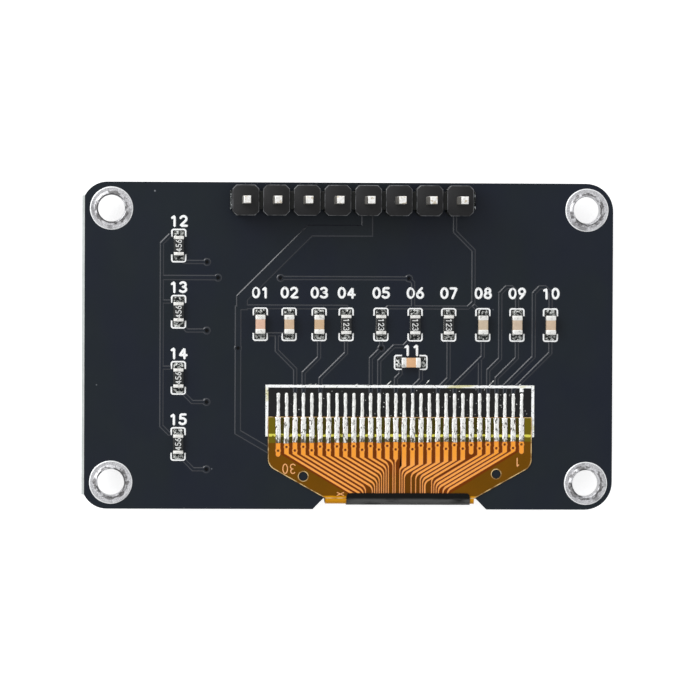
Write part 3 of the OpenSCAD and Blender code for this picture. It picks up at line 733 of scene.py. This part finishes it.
headerLook = {
    "plastic": tone(12, 12, 13), "plasticPale": tone(22, 22, 24), "web": tone(20, 23, 18),
    "rim": tone(128, 129, 132), "broken": tone(190, 194, 196), "dust": tone(160, 160, 160),
    "bevel": 0.07, "pins": 8, "pitch": 2.54, "cell": 2.2, "chamfer": 0.34,
    "webAcross": 1.5, "webDrop": 0.35, "nib": 0.26, "ragged": 0.035}
headerLow, headerHigh = corners("header_body")
headerMiddle = (headerLow + headerHigh) / 2
headerHalf = (headerHigh - headerLow) / 2
firstPin = middle("header_pin_1")


def headerRecipe(place):
    look = headerLook
    x, y, z = split(place)
    cloud = noise(place, 1.1, 3)
    # the webs between the cells lie lower and carry a painted greenish reflection; the cells' rims carry a
    # painted highlight, broken up by noise
    web = 1 - smooth(z, 5.75, 5.9)
    paintedSheen = smooth(noise(place, 0.5, 3), 0.3, 0.6)
    rim = band(facingUp(place), 0.25, 0.95, 0.03) * smooth(z, 5.9, 6.0) * paintedSheen
    # both ends were broken off a longer strip, and are whitened there
    broken = smooth(abs(x - float(headerMiddle[0])), float(headerHalf[0]) - 0.16, float(headerHalf[0]) - 0.04)
    broken = broken * smooth(noise(place, 0.16, 3, 0.6), 0.47, 0.6) * (0.25 + 0.75 * smooth(z, 5.2, 5.7))
    base = tint(cloud, look["plastic"], look["plasticPale"])
    base = tint(web * 0.6, base, look["web"])
    base = tint(rim, base, look["rim"])
    base = tint(broken, base, look["broken"])
    base = tint(specks(place, 0.6, 0.05) * 0.5, base, look["dust"])
    return {"Base Color": base, "Roughness": 0.5 + 0.12 * cloud,
            "Normal": bump(noise(place, 0.1, 2) * 0.6 + cloud * 0.4, 0.03, 0.5)}


def headerCell(x):
    # a stack of chamfered squares, drawn in at both ends
    look = headerLook
    layers = []
    for inset, z in ((look["bevel"], headerLow[2]), (0, headerLow[2] + look["bevel"]),
                     (0, headerHigh[2] - look["bevel"]),
                     (look["bevel"] * 0.3, headerHigh[2] - look["bevel"] * 0.3),
                     (look["bevel"], headerHigh[2])):
        w, h, c = look["cell"] / 2 - inset, headerHalf[1] - inset, look["chamfer"] - inset * 0.4
        ring = [(w, -h + c), (w, h - c), (w - c, h), (-w + c, h), (-w, h - c), (-w, -h + c), (-w + c, -h),
                (w - c, -h)]
        layers.append([(x + u, headerMiddle[1] + v, z) for u, v in ring])
    return rings(np.array(layers))


def headerWeb(x, width, ragged=False):
    look = headerLook
    tall = headerHigh[2] - headerLow[2] - look["webDrop"]
    points, faces = roundedBox((width, look["webAcross"], tall), 0.05, inner=9)
    if ragged:
        # its outer points are moved at random, but reach no further out
        outer = np.abs(points[:, 0]) > 0.08
        points = points + outer[:, None] * dice.normal(0, look["ragged"], points.shape) * [1, 0.8, 1]
        points[:, 0] = np.clip(points[:, 0], -width / 2, width / 2)
    return placed((points, faces), (x, headerMiddle[1], headerLow[2] + tall / 2 + 0.01))


def headerBody():
    # a row of cells joined by webs, with a nib at each end where the strip was broken off
    look = headerLook
    cells = [headerCell(firstPin[0] + count * look["pitch"]) for count in range(look["pins"])]
    between = look["pitch"] - look["cell"] + 0.1
    webs = [headerWeb(headerLow[0] + look["nib"] / 2, look["nib"], ragged=True)]
    for count in range(look["pins"] - 1):
        webs.append(headerWeb(firstPin[0] + (count + 0.5) * look["pitch"], between))
    webs += [headerWeb(headerHigh[0] - look["nib"] / 2, look["nib"], ragged=True)]
    return together(cells + webs)


piece("headerBody", headerBody(), [finish("headerPlastic", headerRecipe, Specular_IOR_Level=0.34)],
      sharpAngle=25, stands=["header_body"])


pinLook = {"plate": tone(196, 192, 182), "platePale": tone(214, 211, 204), "cutEnd": tone(248, 247, 244),
           "brass": tone(172, 148, 96), "endFrom": 11.85, "endTo": 12.0, "bevel": 0.035}


def pinRecipe(place):
    # tin plate on the shafts; the cut ends are painted near-white as a highlight, with brass showing in
    # places
    look = pinLook
    x, y, z = split(place)
    blots = noise(place, 0.22, 3)
    cutEnd = smooth(z, look["endFrom"], look["endTo"])
    brass = smooth(noise(place, 0.3, 2), 0.52, 0.62) * cutEnd
    streaks = smooth(noise(stretch(place, (1, 1, 0.25)), 0.4, 3), 0.35, 0.65)
    base = tint(streaks, look["plate"], look["platePale"])
    base = tint(cutEnd * (0.6 + 0.4 * smooth(blots, 0.4, 0.6)), base, look["cutEnd"])
    base = tint(brass * 0.6, base, look["brass"])
    return {"Base Color": base, "Metallic": 0.92 - 0.55 * cutEnd, "Roughness": 0.26 + 0.14 * blots,
            "Normal": bump(blots * cutEnd + 0.2 * blots, 0.03, 0.6)}


pinMetal = finish("tinnedPin", pinRecipe)
for count in range(1, headerLook["pins"] + 1):
    edged(f"pin{count}", f"header_pin_{count}", [pinMetal], pinLook["bevel"])


coneLook = {"bright": tone(226, 226, 224), "dull": tone(168, 168, 168), "foot": 0.8, "neck": 0.36,
            "bore": 0.30, "barrel": 0.46, "around": 32}


def solderRecipe(place):
    blots = noise(place, 0.35, 3)
    return {"Base Color": tint(blots, coneLook["dull"], coneLook["bright"]),
            "Roughness": 0.2 + 0.2 * blots, "Normal": bump(blots, 0.04, 0.6)}


def solderCones():
    # a hollow cone round each pin on the front: its radius falls with the sine of the way down
    look = coneLook
    low, high = corners("header_solder")
    face, tip = boardLow[2] - tinLook["copper"], low[2]
    t = np.linspace(0, math.pi / 2, 12)
    radius = [look["barrel"]] * 2 + [*(look["foot"] - (look["foot"] - look["neck"]) * np.sin(t))]
    radius = np.array(radius + [look["bore"]] * 2)
    height = [high[2], face, *(face - (face - tip) * (1 - np.cos(t))), tip - 0.02, high[2]]
    a = np.linspace(0, 2 * math.pi, look["around"], endpoint=False)
    shapes = []
    for count in range(headerLook["pins"]):
        waver = 1 + ripple(a, [2, 3, 5], 0.02)[:, None] * (radius > look["barrel"] + 0.01)
        cone = revolve(radius * waver, height, look["around"])
        shapes.append(placed(cone, (firstPin[0] + count * headerLook["pitch"], firstPin[1], 0)))
    return together(shapes)


piece("solderCones", solderCones(), [finish("brightSolder", solderRecipe, Metallic=0.95)],
      sharpAngle=60, stands=["header_solder"])
print("pin header ready")


chipLook = {
    "length": 1.6, "width": 0.84, "capacitorEnd": 0.43, "resistorEnd": 0.27, "capacitorRound": 0.09,
    "resistorRound": 0.035, "tin": tone(236, 235, 230), "tinSmudge": tone(128, 126, 120),
    "glaze": tone(16, 17, 17), "glazePale": tone(30, 31, 31), "slab": tone(206, 204, 196),
    "slabPale": tone(228, 227, 220), "code": tone(190, 191, 188), "codePale": tone(228, 229, 226)}
ceramicTones = {
    "capacitor_1": (214, 176, 152), "capacitor_2": (202, 174, 144), "capacitor_3": (200, 170, 136),
    "capacitor_4": (196, 178, 154), "capacitor_5": (198, 178, 156), "capacitor_6": (200, 176, 150),
    "capacitor_7": (214, 170, 128)}
resistorCodes = {f"resistor_{n}": "123" if n < 5 else "456" for n in range(1, 9)}


def terminalRecipe(place):
    smudge = smooth(noise(place, 0.3, 3), 0.56, 0.7)
    blots = noise(place, 0.24, 3, 0.6)
    return {"Base Color": tint(smudge * 0.55, chipLook["tin"], chipLook["tinSmudge"]),
            "Roughness": 0.34 + 0.2 * blots, "Normal": bump(blots, 0.035, 0.7)}


terminal = finish("terminalTin", terminalRecipe, Metallic=0.55)
glaze = clouded("blackGlaze", chipLook["glaze"], chipLook["glazePale"], 0.3, 2, 0.35, waver=(0.1, 0.2),
                grain=(0.12, 2, 0.01, 0.4))
slabCeramic = clouded("paleCeramic", chipLook["slab"], chipLook["slabPale"], 0.2, 2, 0.6)
codeInk = clouded("codeInk", chipLook["code"], chipLook["codePale"], 0.1, 2, 0.5)


def lyingTurn(node):
    # chips stand along Y, and one that lies along X is turned
    low, high = corners(node)
    return 90.0 if high[0] - low[0] > high[1] - low[1] else 0.0


def chipHeight(node):
    low, high = corners(node)
    return high[2] - low[2]


def buildChip(node, endLength, radius, bodyShapes, bodyMaterials):
    # bodyShapes come first, then the two metal ends
    tall = chipHeight(node)
    end = roundedBox((chipLook["width"], endLength, tall), radius)
    ends = [placed(end, (0, side * (chipLook["length"] - endLength) / 2, tall / 2)) for side in (-1, 1)]
    marks = [index for index, (points, faces) in enumerate(bodyShapes) for face in faces]
    marks += [len(bodyMaterials)] * sum(len(faces) for points, faces in ends)
    x, y, z = middle(node)
    shape = placed(together(bodyShapes + ends), (x, y, z - tall / 2), lyingTurn(node))
    piece(node.replace("_", "Chip"), shape, bodyMaterials + [terminal], sharpAngle=60,
          faceMaterial=marks, stands=[node])


for node, shade in ceramicTones.items():
    tall = chipHeight(node)
    body = placed(roundedBox((chipLook["width"] - 0.04, chipLook["length"] - 0.2, tall - 0.05), 0.05),
                  (0, 0, tall / 2))
    darker = [c - 22 for c in shade]
    ceramic = clouded("ceramic" + node[-1], tone(*shade), tone(*darker), 0.25, 3, 0.42, waver=(0.1, 0.3),
                      grain=(0.1, 2, 0.01, 0.4))
    buildChip(node, chipLook["capacitorEnd"], chipLook["capacitorRound"],
              [body], [ceramic])

for node, code in resistorCodes.items():
    # a ceramic slab, a band of black glaze over it and the code on top
    tall = chipHeight(node)
    inside = chipLook["length"] - 2 * chipLook["resistorEnd"]
    slab = placed(roundedBox((chipLook["width"], chipLook["length"] - 0.1, tall - 0.06), 0.015),
                  (0, 0, tall / 2 - 0.02))
    cover = placed(roundedBox((chipLook["width"] + 0.004, inside + 0.04, 0.1), 0.03), (0, 0, tall - 0.065))
    figures = number(code, (0, 0, tall - 0.02), 0.44, 0.085, 0.012, turn=90.0 if code == "456" else -90.0,
                     squeeze=0.9, gap=0.3)
    buildChip(node, chipLook["resistorEnd"], chipLook["resistorRound"],
              [slab, cover, figures], [slabCeramic, glaze, codeInk])


filletLook = {"reach": 0.46, "width": 0.40, "capacitor": 0.42, "resistor": 0.36, "along": 15, "across": 13,
              "bright": tone(196, 198, 194), "dark": tone(36, 38, 38)}


def fillet(rise):
    # height grows with the 2.2 power of the way in, falls off towards the sides and is lumpy
    look = filletLook
    u = np.linspace(0, 1, look["along"])[:, None]
    v = np.linspace(-1, 1, look["across"])[None, :]
    width = look["width"] * (1 - 0.22 * (1 - u) ** 3)
    lumps = ripple(v * 4 + u * 2, [1, 2], 0.02) + ripple(u * 7 - v * 2, [1, 2], 0.018)
    height = (0.03 + rise * u ** 2.2) * (1 - 0.45 * np.abs(v) ** 3) * (1 + lumps) + lumps * 0.5
    grid = np.zeros((look["along"], look["across"] + 2, 3))
    grid[..., 0] = width * np.concatenate([v[0], [0.98, -0.98]])
    grid[..., 1] = chipLook["length"] / 2 + look["reach"] * (1 - u) - 0.05 * u
    grid[:, :-2, 2] = np.maximum(height, 0.012)
    return rings(grid)


def filletRecipe(place):
    dark = smooth(noise(place, 0.22, 2), 0.40, 0.56)
    blots = noise(place, 0.13, 3, 0.65)
    return {"Base Color": tint(dark, filletLook["bright"], filletLook["dark"]),
            "Roughness": 0.16 + 0.25 * blots, "Normal": bump(blots, 0.09, 1.0)}


filletShapes = []
for node in [*ceramicTones, *resistorCodes]:
    x, y, z = middle(node)
    for side in (0.0, 180.0):
        shape = fillet(filletLook[node.split("_")[0]])
        filletShapes.append(placed(shape, (x, y, z - chipHeight(node) / 2), side + lyingTurn(node)))
piece("chipSolder", together(filletShapes), [finish("chipSolderMetal", filletRecipe, Metallic=0.9)],
      sharpAngle=70, stands=["chip_solder"])
print("chips ready")


foldY = -12.7  # where the film turns over the board's edge
tailLow, tailHigh = corners("tail")
landLow, landHigh = corners("tail_lands")
trackLow, trackHigh = corners("tail_tracks")
tailX = float(tailLow[0] + tailHigh[0]) / 2
tailLook = {
    "ways": 30, "coverEnd": float(trackHigh[1]) - 2.1, "fan": math.tan(math.radians(31)), "skew": 0.008,
    "fieldSkew": 0.014, "fieldEnd": 14.85, "fieldWidth": 9.97,
    "amber": tone(112, 68, 0), "amberDark": tone(92, 60, 0), "field": tone(104, 44, 0),
    "fieldMiddle": tone(84, 56, 0), "olive": tone(100, 88, 14), "oliveDark": tone(56, 52, 10),
    "seenInk": tone(206, 200, 84), "neck": tone(196, 132, 8), "rim": tone(190, 156, 96),
    "copper": tone(244, 158, 44), "copperPink": tone(250, 168, 86), "copperDeep": tone(226, 134, 36),
    "copperNeck": tone(222, 150, 96), "copperEdgeShade": tone(112, 48, 0),
    "edgeHighlight": tone(206, 176, 122), "edgeDark": tone(120, 84, 30)}
fingerX = np.linspace(landHigh[0] - 0.135, landLow[0] + 0.135, tailLook["ways"])


def filmRecipe(place):
    look = tailLook
    x, y, z = split(place)
    across = x - tailX
    aside = abs(across)
    # the tracks' field: above the slanted line from the outer turning points to the neck
    field = 1 - smooth(aside * look["fan"] - y + across * look["fieldSkew"], look["fieldEnd"] - 0.05,
                       look["fieldEnd"] + 0.05)
    field = field * (1 - smooth(aside, look["fieldWidth"] - 0.07, look["fieldWidth"] + 0.08))
    centre = smooth(aside * -1.0, -3.2, -2.2) * (1 - smooth(y, -11.2, -10.0))
    film = mottled(place, 2.5, 2, look["amber"], look["amberDark"])
    film = tint(field * 0.9, film, look["field"])
    film = tint(field * centre * 0.6, film, look["fieldMiddle"])
    # beyond the cover's end the film is olive, and the printed frame shows through it as a line
    seen = band(y, -7.55, -7.33, 0.04) * smooth(noise(place, 0.25, 2), 0.32, 0.6)
    olive = tint(smooth(aside, 10.2, 10.5), look["oliveDark"], look["olive"])
    olive = tint(seen, olive, look["seenInk"])
    bare = smooth(y - across * look["skew"], look["coverEnd"] - 0.02, look["coverEnd"] + 0.02)
    film = tint(bare, film, olive)
    # the neck, where the film turns over the fold, is painted bright amber as painted light
    neck = 1 - smooth(y + 0.2 * (noise(place, 0.8, 2) - 0.5), foldY + 0.14, foldY + 0.26)
    film = tint(neck, film, look["neck"])
    # the film's bevelled edges are painted pale as a highlight
    rim = 1 - smooth(facingUp(place), 0.3, 0.9)
    film = tint(rim * (1 - neck) * 0.75, film, look["rim"])
    wave = noise(place, 3.0, 2)
    return {"Base Color": film, "Roughness": 0.24 + 0.12 * wave, "Normal": bump(wave, 0.05, 0.4)}


def copperRecipe(place):
    # paler and pinker where the tracks slant, deeper in the neck, and painted dark along their edges as shade
    look = tailLook
    x, y, z = split(place)
    slant = smooth(y * -1.0, 9.0, 9.9)
    neck = smooth(y * -1.0, 11.4, 12.4) * (1 - smooth(abs(x - tailX), 2.0, 3.6))
    rim = 1 - smooth(facingUp(place), 0.9, 0.99)
    base = tint(slant * 0.6, look["copper"], look["copperPink"])
    base = tint(noise(place, 1.2, 2) * 0.5, base, look["copperDeep"])
    base = tint(neck * 0.4, base, look["copperNeck"])
    base = tint(rim * 0.9, base, look["copperEdgeShade"])
    return {"Base Color": base, "Roughness": 0.3 + 0.15 * noise(place, 0.12, 2),
            "Normal": bump(noise(place, 0.5, 2), 0.02, 0.4)}


def edgeRecipe(place):
    # the film's edge is painted pale as a highlight, broken up by noise into darker stretches
    worn = smooth(noise(place, 0.7, 3), 0.35, 0.65)
    return {"Base Color": tint(worn, tailLook["edgeDark"], tailLook["edgeHighlight"]), "Roughness": 0.4}


edgeLook = {"width": 0.07, "thick": 0.012, "sunk": 0.003, "shortest": 1.2}


def filmEdges():
    # a thin ridge just inside the film's outline and round its locating holes: the outline is moved
    # inwards along the mean of its two walls' normals
    look = edgeLook
    profile = ((0, 0), (0.005, 1), (look["width"], 1), (look["width"] + 0.01, 0))
    shapes = []
    for loop in outlines(solidCopy("tail"), tailHigh[2]):
        if np.linalg.norm(loop - np.roll(loop, 1, axis=0), axis=1).sum() > look["shortest"]:
            ahead = unit(np.roll(loop, -1, axis=0) - loop)
            inward = leftOf(unit(ahead + np.roll(ahead, 1, axis=0)))
            grid = np.empty((len(loop), 4, 3))
            for step, (shift, rise) in enumerate(profile):
                grid[:, step, :2] = loop + inward * shift
                grid[:, step, 2] = tailHigh[2] - look["sunk"] + rise * look["thick"]
            shapes.append(rings(np.concatenate([grid, grid[:1]]), capped=False))
    return together(shapes)


film = finish("amberFilm", filmRecipe, Specular_IOR_Level=0.12)
copper = finish("copperUnderFilm", copperRecipe, Metallic=0.15)
edged("tailFilm", "tail", [film], 0.025, limit=50)
piece("filmEdges", filmEdges(), [finish("filmEdgeHighlight", edgeRecipe)], smoothed=False)
piece("tailTracks", sloped(solidCopy("tail_tracks"), -0.03, 0.006), [copper], smoothed=False,
      stands=["tail_tracks"])


figureLook = {"stroke": 0.085, "thick": 0.02, "pale": tone(240, 176, 118), "deep": tone(226, 158, 96),
              "last": (-4.97, -10.24), "first": (14.09, -9.65), "cross": (-0.675, -12.325),
              "arms": (0.275, 0.125)}


def tailFigures():
    # the numbers of the last and the first way, upside down, and a small cross beside the tape
    look = figureLook
    shapes = [number("30", (*look["last"], tailHigh[2]), 0.78, look["stroke"], look["thick"], turn=180.0,
                     squeeze=0.85, gap=0.34),
              number("1", (*look["first"], tailHigh[2]), 0.68, look["stroke"], look["thick"], turn=180.0,
                     squeeze=0.8)]
    for slope in (-1, 1):
        arm = np.array(look["arms"]) * [1, -slope]
        path, width = roundEnded([look["cross"] - arm, look["cross"] + arm], 0.035, 0.08)
        shapes.append(placed(strip(path, width, look["thick"], 0.0), (0, 0, tailHigh[2])))
    return together(shapes)


paleCopper = clouded("paleCopper", figureLook["pale"], figureLook["deep"], 0.2, 2, 0.4)
piece("tailFigures", tailFigures(), [paleCopper])


stripLook = {"rows": 72, "landHalf": 0.135, "fingerHalf": 0.2, "landHeight": 0.07, "fingerHeight": 0.035,
             "narrowest": 0.07, "widest": 0.29, "tin": tone(244, 244, 240), "gap": tone(52, 46, 32),
             "foot": tone(70, 62, 40)}


def tinStrips():
    # along each land and finger runs a dome whose half width and height waver with sums of sines
    look = stripLook
    shapes = []
    headY = landHigh[1] + 0.02
    filmEnd = trackHigh[1]
    for x in fingerX:
        foot = tailLook["coverEnd"] + (x - tailX) * tailLook["skew"] + dice.uniform(-0.05, 0.05)
        y = np.linspace(headY, foot, look["rows"])
        onFinger = 1 / (1 + np.exp((y - filmEnd + 0.02) / 0.015))
        onLand = 1 - onFinger
        half = look["landHalf"] * (1 + ripple(y, [3.1, 7.3, 13.7, 23.0], 0.16)) * onLand
        flare = 0.03 * np.exp(-((y - filmEnd + 0.08) / 0.07) ** 2)
        half += (look["fingerHalf"] * (1 + ripple(y, [4.3, 9.1, 17.0, 29.0], 0.1)) + flare) * onFinger
        top = np.clip((headY - y) / 0.12, 0.02, 1)
        half = np.clip(half, look["narrowest"], look["widest"]) * (np.sqrt(1 - (1 - top) ** 2) + 0.02)
        height = look["landHeight"] * onLand * np.sqrt(top) + look["fingerHeight"] * onFinger
        height = height * (1 + ripple(y, [5.3, 11.9, 19.0], 0.16))
        base = landHigh[2] * onLand + trackHigh[2] * onFinger
        centre = x + ripple(y, [1.7, 3.9, 8.0], 0.014)
        shapes.append(strip(np.stack([centre, y], axis=1), half, height, base, across=9))
    return together(shapes)


def stripRecipe(place):
    # bright tin with dark gaps, more of them over the fingers, and a ragged dark foot
    look = stripLook
    x, y, z = split(place)
    long = stretch(place, (1, 0.35, 1))
    ragged = noise(long, 0.16, 3, 0.6)
    onFinger = smooth(y * -1.0, 5.8, 6.0)
    foot = smooth(y * -1.0, 7.45, 7.85)
    gap = smooth(noise(long, 0.13, 2, 0.6) + 0.1 * foot, 0.56, 0.65) * (0.4 + 0.6 * onFinger)
    base = tint(gap * 0.95, look["tin"], look["gap"])
    base = tint(foot * smooth(ragged, 0.42, 0.58) * 0.8, base, look["foot"])
    return {"Base Color": base, "Roughness": 0.26 + 0.3 * ragged, "Metallic": 0.75 - 0.4 * gap,
            "Normal": bump(ragged, 0.07, 0.9)}


piece("tailSolder", tinStrips(), [finish("stripTin", stripRecipe)], sharpAngle=70,
      stands=["tail_solder"])


speckLook = {"count": 46, "marks": 9, "markY": -3.42, "ballY": (-5.8, -3.6), "ball": (0.02, 0.05),
             "dark": tone(120, 122, 120), "bright": tone(226, 226, 222)}


def speckRecipe(place):
    patches = smooth(noise(place, 0.3, 3), 0.4, 0.6)
    return {"Base Color": tint(patches, speckLook["dark"], speckLook["bright"]), "Roughness": 0.4}


def solderSpecks():
    # small balls of solder lie between the lands, and smeared flux crosses the frame's upper line
    look = speckLook
    shapes = []
    t = np.linspace(0, 1.5, 4)
    for _ in range(look["count"]):
        x = dice.uniform(landLow[0], landHigh[0])
        x = fingerX[np.argmin(np.abs(fingerX - x))] + 0.35 + dice.uniform(-0.08, 0.08)
        r = dice.uniform(*look["ball"])
        ball = revolve([r, *(r * np.cos(t)), 0.001, 0.001], [0.0, *(r * np.sin(t)), r, 0.0], 10)
        shapes.append(placed(ball, (x, dice.uniform(*look["ballY"]), boardTop)))
    evenX = np.linspace(landLow[0] + 1.5, landHigh[0] - 1.0, look["marks"])
    for x in evenX + dice.uniform(-0.8, 0.8, look["marks"]):
        angle = dice.uniform(0.2, 0.9)
        length = dice.uniform(0.3, 0.9)
        start = np.array([x, look["markY"]])
        end = start + length * np.array([math.cos(angle), math.sin(angle)])
        path, width = roundEnded([start, end], 0.035, 0.05)
        width = width * (1 + ripple(np.arange(len(width)) * 0.7, [1, 2], 0.3))
        shapes.append(strip(path, np.maximum(width, 0.008), 0.02, boardTop + 0.03))
    return together(shapes)


piece("solderSpecks", solderSpecks(), [finish("greySolder", speckRecipe)], sharpAngle=70)


tapeLook = {"thick": 0.07, "across": 90, "corner": 0.28, "black": tone(3, 3, 2), "blackPale": tone(10, 10, 9),
            "paintedSheen": tone(84, 84, 83), "speck": tone(170, 170, 168)}
tapeLow, tapeHigh = corners("fold_tape")


def foldTape():
    # the path runs along the back, round two quarter circles and down between them; the tape is that
    # path carried across, with a wavering upper edge and rounded upper corners
    look = tapeLook
    outer = foldY - tapeLow[1]
    top, bottom = tapeHigh[2], tapeLow[2]
    turn = np.linspace(0, math.pi / 2, 10)
    run = np.linspace(tapeHigh[1], foldY, 8)[:-1]
    down = np.linspace(top - outer, bottom + outer, 6)[1:-1]
    y = np.concatenate([run, foldY - outer * np.sin(turn), 0 * down + foldY - outer,
                        foldY - outer * np.cos(turn)])
    z = np.concatenate([0 * run + top, top - outer + outer * np.cos(turn), down,
                        bottom + outer - outer * np.sin(turn)])
    path = np.stack([y, z], axis=1)
    inward = leftOf(unit(np.gradient(path, axis=0)))
    inward *= np.sign((inward * ([foldY, (top + bottom) / 2] - path)).sum(axis=1))[:, None]
    x = np.linspace(tapeLow[0], tapeHigh[0], look["across"])[:, None]
    fromEnd = np.clip(np.minimum(x - x[0], x[-1] - x) / look["corner"], 0, 1)
    corner = look["corner"] * (1 - np.sqrt(1 - (1 - fromEnd) ** 2))
    drop = np.minimum(ripple(x, [0.9, 2.3, 5.1, 9.7], 0.014) - corner, 0.0)
    share = np.clip(np.linspace(1, -0.6, len(path)), 0, 1) ** 2
    layers = []
    for depth in (0.0, look["thick"]):
        flatY, flatZ = (path + inward * depth).T
        layer = np.broadcast_arrays(x, flatY + drop * share * (flatY > foldY), flatZ)
        layers.append(np.stack(layer, axis=-1))
    return rings(np.concatenate([layers[0], layers[1][:, ::-1]], axis=1))


def tapeRecipe(place):
    look = tapeLook
    x, y, z = split(place)
    # the tape carries a painted grey highlight where it turns over the fold
    paintedSheen = (1 - smooth(y, foldY - 0.16, foldY + 0.10)) * smooth(z, boardTop - 0.6, boardTop - 0.1)
    paintedSheen = paintedSheen * smooth(noise(stretch(place, (0.25, 1, 1)), 0.5, 3), 0.3, 0.6)
    base = mottled(place, 0.8, 3, look["black"], look["blackPale"])
    base = tint(paintedSheen * 0.75, base, look["paintedSheen"])
    base = tint(specks(place, 0.5, 0.02) * 0.6, base, look["speck"])
    return {"Base Color": base, "Roughness": 0.45 + 0.15 * noise(place, 0.5, 2),
            "Normal": bump(noise(stretch(place, (0.5, 1, 1)), 0.4, 3), 0.04, 0.6)}


piece("foldTape", foldTape(), [finish("blackTape", tapeRecipe, Specular_IOR_Level=0.14)],
      sharpAngle=50, stands=["fold_tape"])
print("flexible tail ready")


panelLook = {
    "margin": tone(6, 7, 10), "lit": tone(11, 10, 14), "sides": 2.2, "low": 1.4, "high": 1.6,
    "glassEdge": tone(120, 150, 146), "glassFace": tone(38, 44, 48), "silicon": tone(70, 74, 82),
    "siliconPale": tone(92, 94, 100), "foam": tone(20, 20, 21), "foamPale": tone(44, 44, 46)}
panelLow, panelHigh = corners("polariser")


def polariserRecipe(place):
    # the lit field lies inside a dull margin, and shows as a slightly warmer black
    look = panelLook
    x, y, z = split(place)
    lit = band(x, panelLow[0] + look["sides"], panelHigh[0] - look["sides"], 0.03)
    lit = lit * band(y, panelLow[1] + look["low"], panelHigh[1] - look["high"], 0.03)
    return {"Base Color": tint(lit, look["margin"], look["lit"]),
            "Roughness": 0.08 + 0.05 * noise(place, 3.0, 2), "Normal": bump(noise(place, 5.0, 1), 0.01, 0.2)}


def glassRecipe(place):
    level = smooth(facingUp(place), 0.3, 0.8)
    return {"Base Color": tint(level, panelLook["glassEdge"], panelLook["glassFace"]),
            "Roughness": 0.06 + 0.05 * noise(place, 2.0, 2)}


polariserBlack = finish("polariserFilm", polariserRecipe, Specular_IOR_Level=0.35)
glass = finish("panelGlass", glassRecipe, Coat_Weight=0.3)
silicon = clouded("siliconBack", panelLook["silicon"], panelLook["siliconPale"], 0.8, 2, 0.2, Metallic=0.6)
foam = clouded("blackFoam", panelLook["foam"], panelLook["foamPale"], 0.2, 3, 0.9, grain=(0.12, 3, 0.08, 1.0))
edged("polariserFilm", "polariser", [polariserBlack], 0.03)
edged("frontGlass", "display_glass", [glass], 0.04)
edged("lidGlass", "cap_glass", [glass], 0.04)
edged("driverChip", "driver_chip", [silicon], 0.02)
edged("foamTape", "foam_tape", [foam], 0.03)
print("display panel ready")
